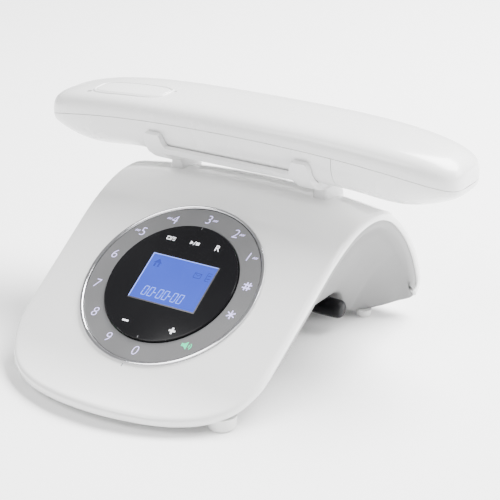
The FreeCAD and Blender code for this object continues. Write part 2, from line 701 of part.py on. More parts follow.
def make_screws(name, label, places, level):
    """A group of pan-head screws, heads down."""
    screws = []
    for i, (x, y) in enumerate(places):
        head = cylinder(f"{name}_head_{i}", "dims.screw_head_radius", "dims.screw_head_depth", (x, y, level))
        shank = cylinder(f"{name}_shank_{i}", "dims.screw_radius", "dims.screw_length", (x, y, level))
        screws.append(fuse(f"{name}_{i}", [head, shank]))
    keep(group(name, screws), label)


def handset_prism(skin, reach, half_length):
    """A bar of the handset's middle section, for the cradle that hugs it."""
    section = handset_section(0.0, -1, skin, reach)
    section.translate(Vector(-half_length, 0, 0))
    return Part.Face(section).extrude(Vector(2 * half_length, 0, 0))


def make_cradle():
    half, gap, wall = size("cradle_half"), size("cradle_gap"), size("cradle_wall")
    outer = solid("cradle_outer", handset_prism(-gap - wall, 0.0, half))
    inner = solid("cradle_inner", handset_prism(-gap, 12.0, half + 3))
    trough_limit = box("cradle_rail_limit", "2 * dims.cradle_half", "60", "dims.rail_top - 60",
                       (0, size("handset_y")), 60)
    lobes = [
        box(f"cradle_lobe_{i}", "dims.lobe_width", "60", "dims.lobe_top - 60",
            (side * size("lobe_x"), size("handset_y")), 60)
        for i, side in enumerate((-1, 1))
    ]
    trough = common("cradle_trough", outer, fuse("cradle_limits", [trough_limit] + lobes))
    stems = [
        box(f"cradle_stem_{i}", "dims.stem_width", "dims.stem_depth", "73 - dims.stem_foot",
            (side * size("stem_x"), size("handset_y")), size("stem_foot"))
        for i, side in enumerate((-1, 1))
    ]
    bores = []
    shoulder = size("pin_tip") - size("pin_length") + size("pin_collar_thick") + size("pin_clearance")
    for i, side in enumerate((-1, 1)):
        spot = (side * size("stem_x"), size("handset_y"))
        bores.append(cylinder(f"cradle_bore_{i}", "dims.pin_collar_radius + 0.2", str(shoulder - 50),
                              (*spot, 50)))
        bores.append(cylinder(f"cradle_hole_{i}", "dims.pin_radius + dims.pin_clearance", "30", (*spot, 55)))
    window = box("cradle_window", "2 * dims.window_half", "80", "dims.rail_bottom - 50",
                 (0, size("handset_y")), 50)
    body = fuse("cradle_body", [trough] + stems)
    keep(cut("cradle_cut", body, fuse("cradle_cuts", [inner, window] + bores)), "cradle")


def make_charge_pins():
    for side, label in ((-1, "left"), (1, "right")):
        spot = Vector(side * size("stem_x"), size("handset_y"), 0)
        pin = turned(f"charge_pin_{label}", [
            ("0", "0"), ("dims.pin_collar_radius", "0"), ("dims.pin_collar_radius", "dims.pin_collar_thick"),
            ("dims.pin_radius", "dims.pin_collar_thick"), ("dims.pin_radius", "dims.pin_length - 0.4"),
            ("dims.pin_radius - 0.5", "dims.pin_length"), ("0", "dims.pin_length"),
        ])
        foot = size("pin_tip") - size("pin_length")
        keep(pin, f"charge_pin_{label}", Placement(spot + Vector(0, 0, foot), Rotation()))
        spring = turned(f"charge_spring_{label}", [
            ("dims.spring_radius - dims.spring_wall", "0"), ("dims.spring_radius", "0"),
            ("dims.spring_radius", "dims.pin_tip - dims.pin_length - dims.stem_foot"),
            ("dims.spring_radius - dims.spring_wall", "dims.pin_tip - dims.pin_length - dims.stem_foot"),
        ])
        keep(spring, f"charge_spring_{label}", Placement(spot + Vector(0, 0, size("stem_foot")), Rotation()))
    plates = [
        box(f"contact_plate_{i}", "dims.contact_plate", "dims.contact_plate", "dims.contact_plate_thick",
            (side * size("stem_x"), size("handset_y")), size("stem_foot") - size("contact_plate_thick"))
        for i, side in enumerate((-1, 1))
    ]
    keep(group("contact_plates", plates), "charge_contact_plates")


# ---- handset pieces ------------------------------------------------------------------------


def key_prism(name, grow):
    """An upright oblong the size of the talk key, grown all round."""
    prism = plate(name, f"2 * (dims.key_half_length + {grow})", f"2 * (dims.key_half_width + {grow})", "60")
    round_edges(prism, size("key_corner") + grow, upright)
    prism.Placement = Placement(Vector(size("key_x"), size("key_y"), 60), Rotation())
    return prism


def make_handset():
    wall = size("shell_wall")
    outer = {1: solid("handset_top_outer", handset_loft(1, 0.0, 0.0))}
    outer[-1] = solid("handset_lower_outer", handset_loft(-1, 0.0, 0.0))
    hollow = {}
    for i, side in enumerate((1, -1)):
        core = solid(f"handset_core_{i}", handset_loft(side, wall, 1.0))
        hollow[side] = cut(f"handset_hollow_{i}", outer[side], core)
    clearance, rim = size("key_clearance"), size("rim_width")
    opening = key_prism("key_opening", clearance + rim)
    keep(cut("handset_top", hollow[1], opening), "handset_top_shell")
    key_core = solid("key_core", handset_loft(1, size("key_skin"), 1.0))
    key_block = common("key_block", key_prism("key_face", 0.0), outer[1])
    keep(cut("talk_key", key_block, key_core), "talk_key")
    proud = solid("rim_outer", handset_loft(1, -size("rim_proud"), 0.0))
    rim_ring = cut("rim_ring", key_prism("rim_outside", clearance + rim), key_prism("rim_inside", clearance))
    rim_block = common("rim_block", rim_ring, proud)
    keep(cut("talk_key_rim", rim_block, key_core), "talk_key_rim")

    contacts, windows = [], []
    for i, side in enumerate((-1, 1)):
        spot = (side * size("stem_x"), size("handset_y"))
        contacts.append(box(f"handset_contact_{i}", "dims.contact_length", "dims.contact_width",
                            "dims.contact_thick", spot, size("pin_tip") + 0.25))
        windows.append(box(f"contact_window_{i}", "dims.contact_length", "dims.contact_width", "8", spot, 70))
    keep(group("handset_contact_pair", contacts), "handset_contacts")
    inboard = box("lower_side", "200", "80", "60", (size("cover_edge") - 100, size("handset_y")), 50)
    outboard = box("cover_side", "100", "80", "60",
                   (size("cover_edge") + size("cover_gap") + 50, size("handset_y")), 50)
    lower = common("lower_inboard", hollow[-1], inboard)
    keep(cut("handset_lower", lower, group("contact_windows", windows)), "handset_lower_shell")
    keep(common("battery_cover", hollow[-1], outboard), "battery_cover")


def make_handset_insides():
    y = size("handset_y")
    board_level = 85.4
    board = plate("handset_board", "dims.handset_board_length", "dims.handset_board_width",
                  "dims.board_thick")
    keep(board, "handset_board", Placement(Vector(-34, y, board_level), Rotation()))
    switch = box("key_switch", "dims.switch_size", "dims.switch_size", "dims.switch_height",
                 (size("key_x"), size("key_y")), board_level + size("board_thick"))
    keep(switch, "key_switch")
    receiver = cylinder("ear_receiver", "dims.receiver_radius", "dims.receiver_depth", (-79, y, 79.4))
    keep(receiver, "ear_receiver")
    keep(cylinder("handset_mic", "dims.mic_radius", "dims.mic_depth", (97, y, 80)), "handset_microphone")
    keep(cylinder("ringer", "dims.ringer_radius", "dims.ringer_depth", (20, y, 78)), "ringer")
    cell_start = size("cell_x") - size("cell_length") / 2
    cells = [
        cylinder(f"battery_cell_{i}", "dims.cell_radius", "dims.cell_length",
                 (cell_start, y + side * (size("cell_radius") + 0.25), size("cell_level")), Vector(1, 0, 0))
        for i, side in enumerate((-1, 1))
    ]
    keep(group("battery_cells", cells), "battery_cells")
    clip_thick = 0.4
    clips, walls = [], []
    for i, side in enumerate((-1, 1)):
        end = size("cell_x") + side * (size("cell_length") / 2 + 0.1)
        clips.append(box(f"battery_clip_{i}", str(clip_thick), "16", "5",
                         (end + side * clip_thick / 2, y), size("cell_level") - 2.5))
        walls.append(box(f"battery_wall_{i}", "1.2", "18", "6.4",
                         (end + side * (clip_thick + 0.7), y), size("cell_level") - 3.2))
    keep(group("battery_contacts", clips), "battery_contacts")
    rib = box("battery_rib", "dims.cell_length + 3.4", "0.4", "6.4", (size("cell_x"), y),
              size("cell_level") - 3.2)
    clip_gap = group("battery_clip_gap", [
        box(f"battery_clip_gap_{i}", "0.9", "17", "6",
            (size("cell_x") + side * (size("cell_length") / 2 + 0.3), y), size("cell_level") - 3)
        for i, side in enumerate((-1, 1))
    ])
    keep(fuse("battery_holder", walls + [cut("battery_rib_trim", rib, clip_gap)]), "battery_holder")


# ---- power lead ----------------------------------------------------------------------------

RELIEF_TIP = size("lead_radius") + 0.2
# The lead's route from the plug's strain relief to the coil, as points set by hand.
LEAD_ROUTE = (
    (7.1, 42.6, 10.8), (-10.0, 42.6, 10.4), (-29.0, 41.0, 6.8), (-49.0, 40.6, 2.8), (-70.0, 43.0, 2.0),
    (-88.0, 52.0, 2.0), (-98.0, 67.0, 2.1), (-99.8, 82.0, 2.8), (-99.6, 96.0, 4.0),
)
TAIL_ROUTE = ((-88.0, 114.5, 15.4), (-78.0, 116.7, 15.5), (-69.0, 117.0, 15.6))


def lead_tube(name, route):
    """A round lead along straight runs that tangent arcs join, each as large as its runs allow."""
    points = [Vector(*p) for p in route]
    edges, radii, length, start = [], [], 0.0, points[0]
    for before, corner, after in zip(points, points[1:], points[2:]):
        back, ahead = (before - corner), (after - corner)
        reach = 0.45 * min(back.Length, ahead.Length)
        turn = math.pi - back.getAngle(ahead)
        radii.append(reach / math.tan(turn / 2))
        first = corner + back.normalize() * reach
        last = corner + ahead.normalize() * reach
        to_centre = (back + ahead).normalize()
        middle = corner + to_centre * (radii[-1] / math.cos(turn / 2) - radii[-1])
        edges += [Part.LineSegment(start, first).toShape(), Part.Arc(first, middle, last).toShape()]
        length += (first - start).Length + turn * radii[-1]
        start = last
    edges.append(Part.LineSegment(start, points[-1]).toShape())
    length += (points[-1] - start).Length
    path = Part.Wire(edges)
    section = Part.Wire(Part.makeCircle(size("lead_radius"), points[0], points[1] - points[0]))
    tube = path.makePipeShell([section], True, True)
    expected = math.pi * size("lead_radius") ** 2 * length
    print(name, "radii", [round(r, 1) for r in radii], "length", round(length, 1),
          "volume share", round(tube.Volume / expected, 4))
    return solid(name, tube)


def cone(name, base_radius, tip_radius, length, base, axis):
    obj = doc.addObject("Part::Cone", name)
    bind(obj, Radius1=base_radius, Radius2=tip_radius, Height=length)
    obj.Placement = Placement(Vector(*base), Rotation(Vector(0, 0, 1), Vector(axis)))
    return obj


def make_lead():
    left = Vector(-1, 0, 0)
    tip = (size("plug_x"), size("plug_y"), size("plug_height"))
    barrel = cylinder("plug_barrel", "dims.barrel_radius", "dims.barrel_length + dims.plug_radius",
                      (*JACK, size("plug_height")))
    body = cylinder("plug_body", "dims.plug_radius", "dims.plug_length", tip, left)
    keep(fuse("dc_plug", [body, barrel]), "dc_plug")
    relief_start = (tip[0] - size("plug_length"), tip[1], tip[2])
    relief = cone("plug_relief", "dims.plug_radius - 0.6", str(RELIEF_TIP), "dims.relief_length",
                  relief_start, left)
    keep(relief, "plug_strain_relief")
    jack = box("jack_body", "dims.jack_width", "dims.jack_width", "dims.jack_height", JACK, INSIDE_ARCH)
    hole = cylinder("jack_hole", "dims.barrel_radius + 0.1", "20", (*JACK, 5))
    keep(cut("dc_socket", jack, hole), "dc_socket")

    keep(lead_tube("lead_route", LEAD_ROUTE), "power_lead")
    keep(lead_tube("tail_route", TAIL_ROUTE), "lead_tail")
    centre = (size("coil_x"), size("coil_y"), size("coil_level"))
    coil = cut("coil_ring",
               cylinder("coil_outer", "dims.coil_middle_radius + dims.coil_band / 2", "dims.coil_height",
                        centre),
               cylinder("coil_hole", "dims.coil_middle_radius - dims.coil_band / 2", "20", (*centre[:2], -2)))
    keep(coil, "lead_coil")
    spot = (size("coil_x") + size("coil_middle_radius") - 0.4, size("coil_y"))
    loop = box("tie_outer", "dims.coil_band + 2 * dims.tie_thick + 1.2", "dims.tie_width",
               "dims.coil_height + 2 * dims.tie_thick + 0.2", spot,
               size("coil_level") - size("tie_thick") - 0.1)
    gap = box("tie_inner", "dims.coil_band + 1.2", "dims.tie_width + 2", "dims.coil_height + 0.2",
              spot, size("coil_level") - 0.1)
    keep(cut("lead_tie", loop, gap), "lead_tie")


def make_adapter():
    body = plate("adapter_body", "dims.adapter_width", "dims.adapter_depth", "dims.adapter_height")
    round_edges(body, 4.0, upright)
    place = Vector(size("adapter_x"), size("adapter_y"), 0)
    keep(body, "adapter_body", Placement(place, Rotation()))
    back = place.y + size("adapter_depth") / 2
    pins = []
    for i, side in enumerate((-1, 1)):
        spot = (place.x + side * size("mains_pin_spacing") / 2, back, size("adapter_height") / 2)
        pins.append(cylinder(f"mains_pin_{i}", "dims.mains_pin_radius", "dims.mains_pin_length", spot,
                             Vector(0, 1, 0)))
    keep(group("mains_pins", pins), "adapter_pins")
    start = (place.x - size("adapter_width") / 2, TAIL_ROUTE[-1][1], TAIL_ROUTE[-1][2])
    relief = cone("adapter_relief_cone", "dims.lead_radius + 1.2", str(RELIEF_TIP), "dims.adapter_relief",
                  start, Vector(-1, 0, 0))
    keep(relief, "adapter_strain_relief")


make_deck_cover()
side_wall = make_lower_housing()
make_dial()
make_display()
make_electronics()
make_feet(side_wall)
make_screws("base_screws", "housing_screws", ((-35, -47), (35, -47), (-34, 62), (34, 62)), 4.5)
make_cradle()
make_charge_pins()
make_handset()
make_handset_insides()
make_screws("handset_screws", "handset_screws",
            [(46, size("handset_y") + side * 7) for side in (-1, 1)], 76.5)
make_lead()
make_adapter()
doc.recompute()

for obj in doc.Objects:
    if "Invalid" in obj.State or "Error" in obj.State:
        raise SystemExit(f"{obj.Name} failed: {obj.State}")
for obj in parts:
    if obj.Shape.isNull() or not obj.Shape.isValid() or obj.Shape.Volume <= 0:
        raise SystemExit(f"{obj.Label} has no valid solid")
os.makedirs("parts", exist_ok=True)
for obj in parts:
    obj.Shape.exportStep(f"parts/{obj.Label}.step")
print(len(parts), "parts written")
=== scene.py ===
import math

import bmesh
import bpy
from mathutils import Matrix, Vector


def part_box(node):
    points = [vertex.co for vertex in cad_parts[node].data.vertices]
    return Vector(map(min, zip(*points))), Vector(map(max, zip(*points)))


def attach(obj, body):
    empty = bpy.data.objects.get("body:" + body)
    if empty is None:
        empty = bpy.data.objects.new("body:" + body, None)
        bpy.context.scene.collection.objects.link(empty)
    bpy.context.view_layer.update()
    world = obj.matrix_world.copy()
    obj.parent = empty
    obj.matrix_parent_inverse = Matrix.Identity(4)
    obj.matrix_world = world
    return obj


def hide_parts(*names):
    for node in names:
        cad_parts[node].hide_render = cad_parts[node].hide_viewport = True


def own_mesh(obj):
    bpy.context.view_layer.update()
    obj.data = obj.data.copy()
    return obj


# Compact cordless phone. Shapes are worked out in millimetres, in the CAD part's frame.

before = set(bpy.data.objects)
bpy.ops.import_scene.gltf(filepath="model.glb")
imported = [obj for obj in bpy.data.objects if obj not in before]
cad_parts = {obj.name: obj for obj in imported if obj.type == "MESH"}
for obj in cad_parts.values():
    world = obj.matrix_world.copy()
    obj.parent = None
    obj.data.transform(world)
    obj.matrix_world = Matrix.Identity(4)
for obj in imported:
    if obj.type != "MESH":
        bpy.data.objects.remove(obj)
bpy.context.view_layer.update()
MM = 0.001

# ---- sizes ----

DIAL = Vector((0.0, -24.1, 37.6))
DIAL_RADIUS = 41.0
DECK_ANGLE = 33.6
DECK_DROP = 0.8
HOLE_RADIUS = 40.3
FRONT_HALF, REAR_HALF = 61.5, 65.5
FRONT_Y, NOSE_DEPTH = -84.8, 40.0
BAND = 4.0
BAND_EDGE = 1.9
LIP_HALF, KEEL_HALF = 60.6, 41.0
LIP_DEPTH, LIP_INSET = 4.0, 0.9
BOTTOM, ARCH = 2.0, 17.0
HANDSET_HALF, HANDSET_Y, HANDSET_WIDTH = 104.3, 40.6, 22.6
SEAM, CROWN, BELLY, SKIN = 90.4, 9.4, 19.1, 2.0
END_PAD, END_PAD_X, END_PAD_REACH = 6.0, 84.5, 22.5
SEAM_GAP = 0.12
COVER_EDGE, COVER_GAP = 51.4, 0.3

DIAL_TURN = Matrix.Rotation(math.radians(DECK_ANGLE), 4, "X")
DIAL_PLACE = Matrix.Translation(DIAL * MM) @ DIAL_TURN


# ---- camera ----

CAMERA_AZIMUTH, CAMERA_HEIGHT = 32.55, 22.02
CAMERA_DISTANCE = 15.65 * DIAL_RADIUS
VIEW_RIGHT, VIEW_UP = 0.8073, 0.3260
FOCAL_PIXELS, PICTURE_PIXELS = 1536.0, 500.0


def add_object(name, data, place=None):
    """A new object in the scene."""
    obj = bpy.data.objects.new(name, data)
    bpy.context.scene.collection.objects.link(obj)
    if place is not None:
        obj.matrix_world = place
    return obj


def moved(x, y, z):
    """A shift given in millimetres."""
    return Matrix.Translation(Vector((x, y, z)) * MM)


def make_camera():
    """Looks along the photograph's direction, with the dial left of the middle."""
    azimuth, height = math.radians(CAMERA_AZIMUTH), math.radians(CAMERA_HEIGHT)
    level = math.cos(height)
    back = Vector((math.sin(azimuth) * level, -math.cos(azimuth) * level, math.sin(height)))
    right = Vector((math.cos(azimuth), math.sin(azimuth), 0.0))
    up = back.cross(right)
    place = DIAL + back * CAMERA_DISTANCE + right * VIEW_RIGHT * DIAL_RADIUS + up * VIEW_UP * DIAL_RADIUS
    data = bpy.data.cameras.new("camera")
    data.sensor_width = 36.0
    data.lens = FOCAL_PIXELS / PICTURE_PIXELS * data.sensor_width
    turn = Matrix((right, up, back)).transposed().to_4x4()
    bpy.context.scene.camera = add_object("camera", data, Matrix.Translation(place * MM) @ turn)


make_camera()


# ---- materials ----


class Nodes:
    """A short way to wire a material's nodes."""

    def __init__(self, name):
        self.material = bpy.data.materials.new(name)
        self.material.use_nodes = True
        self.tree = self.material.node_tree
        self.shader = self.tree.nodes["Principled BSDF"]

    def add(self, kind, **values):
        node = self.tree.nodes.new(kind)
        for key, value in values.items():
            if key in node.inputs:
                node.inputs[key].default_value = value
            else:
                setattr(node, key.lower(), value)
        return node

    def link(self, output, target):
        self.tree.links.new(output, target)

    def feed(self, output, name):
        self.link(output, self.shader.inputs[name])

    def fix(self, **values):
        """Sets the shader's inputs; an underscore stands for a space in an input's name."""
        for key, value in values.items():
            self.shader.inputs[key.replace("_", " ")].default_value = value

    def noise(self, scale, detail=4.0, roughness=0.5):
        place = self.add("ShaderNodeTexCoord")
        node = self.add("ShaderNodeTexNoise", Scale=scale, Detail=detail, Roughness=roughness)
        self.link(place.outputs["Object"], node.inputs["Vector"])
        return node.outputs["Fac"]

    def spread(self, factor, low, high, start=0.3, end=0.7):
        node = self.add("ShaderNodeMapRange")
        for key, value in (("From Min", start), ("From Max", end), ("To Min", low), ("To Max", high)):
            node.inputs[key].default_value = value
        self.link(factor, node.inputs["Value"])
        return node.outputs["Result"]

    def blend(self, factor, first, second):
        node = self.add("ShaderNodeMix", data_type="RGBA")
        node.inputs[6].default_value = (*first, 1.0)
        node.inputs[7].default_value = (*second, 1.0)
        self.link(factor, node.inputs[0])
        return node.outputs[2]

    def bump(self, height, strength, distance):
        node = self.add("ShaderNodeBump", Strength=strength, Distance=distance)
        self.link(height, node.inputs["Height"])
        self.feed(node.outputs["Normal"], "Normal")

    def drift(self, scale, detail, dark, light, target="Base Color"):
        """A slow change between two colours."""
        factor = self.spread(self.noise(scale, detail), 0.0, 1.0)
        self.feed(self.blend(factor, dark, light), target)

    def gloss(self, scale, detail, rough, roughness=0.5):
        """Gloss that is uneven between two roughnesses."""
        self.feed(self.spread(self.noise(scale, detail, roughness), *rough), "Roughness")


def plastic(name, dark, light, rough, grain=900.0, grain_depth=0.00002, coat=0.0, specular=0.5):
    """Moulded plastic: faint colour drift, uneven gloss and a fine grain."""
    nodes = Nodes(name)
    nodes.drift(18.0, 3.0, dark, light)
    nodes.gloss(60.0, 5.0, rough, 0.6)
    nodes.bump(nodes.noise(grain, 2.0), 0.25, grain_depth)
    nodes.fix(Coat_Weight=coat, Coat_Roughness=0.06, Specular_IOR_Level=specular)
    return nodes.material


def metal(name, dark, light, rough):
    """Bare or plated metal: uneven gloss and a very fine grain."""
    nodes = Nodes(name)
    nodes.drift(40.0, 3.0, dark, light)
    nodes.gloss(120.0, 4.0, rough)
    nodes.bump(nodes.noise(1500.0, 2.0), 0.2, 0.00001)
    nodes.fix(Metallic=1.0)
    return nodes.material


def glow(name, colour, strength):
    """A lit symbol, with a little unevenness in its light."""
    nodes = Nodes(name)
    nodes.fix(Base_Color=(*[c * 0.5 for c in colour], 1.0), Roughness=0.35, Emission_Strength=strength)
    nodes.drift(350.0, 2.0, [c * 0.86 for c in colour], colour, "Emission Color")
    return nodes.material


SATIN_WHITE = plastic("satin_white", (0.80, 0.80, 0.795), (0.83, 0.83, 0.825), (0.22, 0.30), coat=0.25)
PEARL_WHITE = plastic("pearl_white", (0.78, 0.78, 0.775), (0.81, 0.81, 0.805), (0.14, 0.20), coat=0.6)
# Partly the housing's own grey, partly painted shade: a mid grey far below the band's white, so the recessed
# walls under the band come out dark.
WALL_GREY_AND_SHADE = plastic("wall_grey_and_shade", (0.23, 0.23, 0.23), (0.26, 0.26, 0.26), (0.34, 0.44), specular=0.3)
CRADLE_WHITE = plastic("cradle_white", (0.80, 0.80, 0.80), (0.84, 0.84, 0.84), (0.30, 0.38))
KEY_WHITE = plastic("key_white", (0.79, 0.79, 0.785), (0.82, 0.82, 0.815), (0.28, 0.36), coat=0.1)
FOOT_WHITE = plastic("foot_white", (0.72, 0.72, 0.71), (0.77, 0.77, 0.76), (0.5, 0.6), grain=500.0)
BLACK_GLASS = plastic("black_glass", (0.006, 0.006, 0.007), (0.009, 0.009, 0.010), (0.16, 0.22),
                     specular=0.12)
BLACK_PLASTIC = plastic("black_plastic", (0.008, 0.008, 0.009), (0.014, 0.014, 0.015), (0.38, 0.5),
                        grain_depth=0.00005, specular=0.2)
GLOSS_BLACK = plastic("gloss_black", (0.004, 0.004, 0.005), (0.007, 0.007, 0.008), (0.30, 0.40),
                     specular=0.12)
CORD_BLACK = plastic("cord_black", (0.012, 0.012, 0.013), (0.022, 0.022, 0.024), (0.42, 0.55))
CLEAR_GUIDE = plastic("clear_guide", (0.7, 0.72, 0.76), (0.8, 0.82, 0.85), (0.3, 0.4))
BOARD_GREEN = plastic("board_green", (0.01, 0.10, 0.04), (0.02, 0.16, 0.07), (0.3, 0.42), coat=0.2)
CELL_WRAP = plastic("cell_wrap", (0.03, 0.20, 0.08), (0.05, 0.27, 0.11), (0.2, 0.3), coat=0.4)
SEAM_GREY = plastic("seam_grey", (0.16, 0.16, 0.17), (0.24, 0.24, 0.25), (0.4, 0.5))
CHROME = metal("chrome", (0.62, 0.62, 0.64), (0.74, 0.74, 0.76), (0.08, 0.14))
STEEL = metal("steel", (0.40, 0.41, 0.43), (0.52, 0.53, 0.55), (0.25, 0.4))
GOLD = metal("gold", (0.78, 0.56, 0.22), (0.88, 0.66, 0.30), (0.15, 0.28))
SYMBOL = glow("symbol_glow", (0.62, 0.57, 1.0), 2.2)
SYMBOL_WHITE = glow("icon_glow", (0.95, 0.95, 1.0), 2.0)
SYMBOL_FAINT = glow("mark_glow", (0.60, 0.56, 0.95), 2.0)
SPEAKER_GREEN = glow("speaker_glow", (0.03, 0.80, 0.40), 1.4)


RING_LINES, SCREEN_GRID = 9000.0, 2600.0


def ring_finish():
    """Satin metal paint: fine lines round the dial over a soft drift of grey."""
    nodes = Nodes("ring_silver")
    place = nodes.add("ShaderNodeTexCoord")
    gap = nodes.add("ShaderNodeVectorMath", operation="LENGTH")
    nodes.link(place.outputs["Object"], gap.inputs[0])
    scaled = nodes.add("ShaderNodeMath", operation="MULTIPLY")
    scaled.inputs[1].default_value = RING_LINES
    nodes.link(gap.outputs["Value"], scaled.inputs[0])
    along = nodes.add("ShaderNodeCombineXYZ")
    nodes.link(scaled.outputs[0], along.inputs["X"])
    lines = nodes.add("ShaderNodeTexNoise", Scale=1.0, Detail=3.0)
    nodes.link(along.outputs[0], lines.inputs["Vector"])
    nodes.drift(30.0, 2.0, (0.21, 0.21, 0.215), (0.25, 0.25, 0.255))
    nodes.feed(nodes.spread(lines.outputs["Fac"], 0.34, 0.46), "Roughness")
    nodes.bump(lines.outputs["Fac"], 0.15, 0.00001)
    nodes.fix(Metallic=0.75)
    return nodes.material


def screen_finish():
    """A backlit blue display: a faint pixel grid under a slow drift of light."""
    nodes = Nodes("screen_blue")
    place = nodes.add("ShaderNodeTexCoord")
    grid = nodes.add("ShaderNodeTexBrick", Scale=SCREEN_GRID)
    grid.inputs["Mortar Size"].default_value = 0.06
    grid.inputs["Color1"].default_value = (0.030, 0.085, 0.80, 1.0)
    grid.inputs["Color2"].default_value = (0.034, 0.092, 0.83, 1.0)
    grid.inputs["Mortar"].default_value = (0.026, 0.075, 0.72, 1.0)
    nodes.link(place.outputs["Object"], grid.inputs["Vector"])
    shade = nodes.blend(nodes.spread(nodes.noise(45.0, 1.0), 0.0, 1.0), (0.9, 0.9, 0.95), (1.1, 1.1, 1.05))
    mix = nodes.add("ShaderNodeMix", data_type="RGBA", blend_type="MULTIPLY")
    mix.inputs[0].default_value = 1.0
    nodes.link(grid.outputs["Color"], mix.inputs[6])
    nodes.link(shade, mix.inputs[7])
    nodes.feed(mix.outputs[2], "Emission Color")
    nodes.fix(Base_Color=(0.02, 0.03, 0.10, 1.0), Emission_Strength=1.25)
    nodes.fix(Roughness=0.4, Specular_IOR_Level=0.15)
    return nodes.material


RING_SILVER = ring_finish()
SCREEN_BLUE = screen_finish()
SEGMENT = glow("segment_glow", (0.20, 0.30, 1.0), 2.2)
SEGMENT_DARK = glow("segment_shade", (0.015, 0.035, 0.34), 1.1)
SCREEN_WELL = plastic("screen_well", (0.05, 0.05, 0.06), (0.08, 0.08, 0.09), (0.3, 0.4))

# ---- mesh helpers ----


def make_mesh(name, points, faces):
    """A mesh from points in millimetres, with doubled points merged and its faces turned outward."""
    mesh = bpy.data.meshes.new(name)
    mesh.from_pydata([tuple(c * MM for c in p) for p in points], [], faces)
    build = bmesh.new()
    build.from_mesh(mesh)
    bmesh.ops.remove_doubles(build, verts=build.verts, dist=0.00001)
    bmesh.ops.recalc_face_normals(build, faces=build.faces)
    build.to_mesh(mesh)
    build.free()
    return mesh


def piece(name, shape, material, sharp=40.0, place=None, body="base"):
    """A piece from points and faces, smooth except where its faces meet more sharply than the angle."""
    mesh = make_mesh(name, *shape)
    mesh.shade_smooth()
    mesh.set_sharp_from_angle(angle=math.radians(sharp))
    mesh.materials.append(material)
    obj = add_object(name, mesh, place)
    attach(obj, body)
    return obj


def strip(rows, wrap=False):
    """Points and quads of a grid of rows of equal length; wrap closes each row on itself."""
    points = [p for row in rows for p in row]
    count = len(rows[0])
    faces = []
    for i in range(len(rows) - 1):
        for j in range(count if wrap else count - 1):
            k = (j + 1) % count
            faces.append((i * count + j, i * count + k, (i + 1) * count + k, (i + 1) * count + j))
    return points, faces


def joined(*parts):
    """Several shapes, each with its points and faces, as one."""
    points, faces = [], []
    for more, quads in parts:
        shift = len(points)
        points += more
        faces += [tuple(v + shift for v in quad) for quad in quads]
    return points, faces


def capped(rows):
    """A tube through rows that each close on themselves, with a face on both ends."""
    points, faces = strip(rows, wrap=True)
    count = len(rows[0])
    return points, faces + [tuple(range(count)), tuple(range(len(points) - count, len(points)))]


def ring(count, power=1.0):
    """Points round a unit circle; a power under 1 squares it off."""
    result = []
    for i in range(count):
        angle = 2 * math.pi * i / count
        result.append([math.copysign(abs(v) ** power, v) for v in (math.cos(angle), math.sin(angle))])
    return result


def lathe(name, outline, material, place, count):
    """A turned piece from a closed outline in (radius, height)."""
    rows = [[(r * c, r * s, z) for r, z in outline] for c, s in ring(count)]
    return piece(name, strip(rows + rows[:1], wrap=True), material, 35.0, place)


def smoothstep(x):
    x = min(1.0, max(0.0, x))
    return x * x * (3 - 2 * x)


# ---- the base's arched band ----

DECK_TILT = math.radians(DECK_ANGLE)
DECK_START, DECK_LENGTH = -39.8, 67.8
RIDGE_TRIM, EDGE_DROP = 4.0, 2.0
CURL_RADIUS, CURL_TRIM, CURL_TURN = 16.5, 8.3, 75.0
FRONT_RADIUS, FRONT_FLAT = 41.0, 6.0
BACK_ARCS = ((13.6, 96.0), (20.0, 51.0), (37.0, 36.0), (25.0, 72.0), (13.0, 57.0))
FRONT_ARC = DECK_TILT * FRONT_RADIUS
DIAL_SPOT = FRONT_FLAT + FRONT_ARC - DECK_START
SPLIT = DIAL_SPOT + 46.0


# The arch's stretches by index: the last one of the deck, the one that the rear rows start in, the curl.
RIDGE_STRETCH, CURL_STRETCH = 3, 8


def share_at(x):
    """0 on the arch's middle line and 1 at its edges, growing with the square."""
    return (x / REAR_HALF) ** 2


def stretches(x):
    """The arch's side view at x, as lengths and turns in radians."""
    share = share_at(x)
    result = [(FRONT_FLAT, 0.0), (FRONT_ARC, DECK_TILT), (DECK_LENGTH - RIDGE_TRIM * share, 0.0)]
    for turn, radius in BACK_ARCS:
        result.append((math.radians(turn) * radius, -math.radians(turn)))
    curl = math.radians(CURL_TURN)
    result.append((curl * (CURL_RADIUS - CURL_TRIM * share), -curl))
    return result


def front_start(x):
    """(y, z) of the arch's front end at x."""
    foot_y = DIAL.y + DECK_START * math.cos(DECK_TILT) + DECK_DROP * math.sin(DECK_TILT)
    foot_z = DIAL.z + DECK_START * math.sin(DECK_TILT) - DECK_DROP * math.cos(DECK_TILT)
    y = foot_y - FRONT_RADIUS * math.sin(DECK_TILT) - FRONT_FLAT
    return y, foot_z - FRONT_RADIUS * (1 - math.cos(DECK_TILT)) - EDGE_DROP * share_at(x)


def follow(x, reach):
    """(y, z, heading) on the outer line at x; reach is (stretch index, share of that stretch)."""
    y, z = front_start(x)
    heading = 0.0
    last, part = reach
    for i, (length, turn) in enumerate(stretches(x)[: last + 1]):
        used = part if i == last else 1.0
        length, turn = length * used, turn * used
        chord = length * (math.sin(turn / 2) / (turn / 2) if abs(turn) > 1e-9 else 1.0)
        y += chord * math.cos(heading + turn / 2)
        z += chord * math.sin(heading + turn / 2)
        heading += turn
    return y, z, heading


def deck_reach(x, distance):
    """The stretch index and share that lie this far from the front line."""
    for i, (length, _) in enumerate(stretches(x)):
        if distance <= length:
            return i, distance / length
        distance -= length
    return i, 1.0


def on_arch(x, reach, depth=0.0):
    """A point on the arch, depth below its outer surface."""
    y, z, heading = follow(x, reach)
    return (x, y + depth * math.sin(heading), z - depth * math.cos(heading))


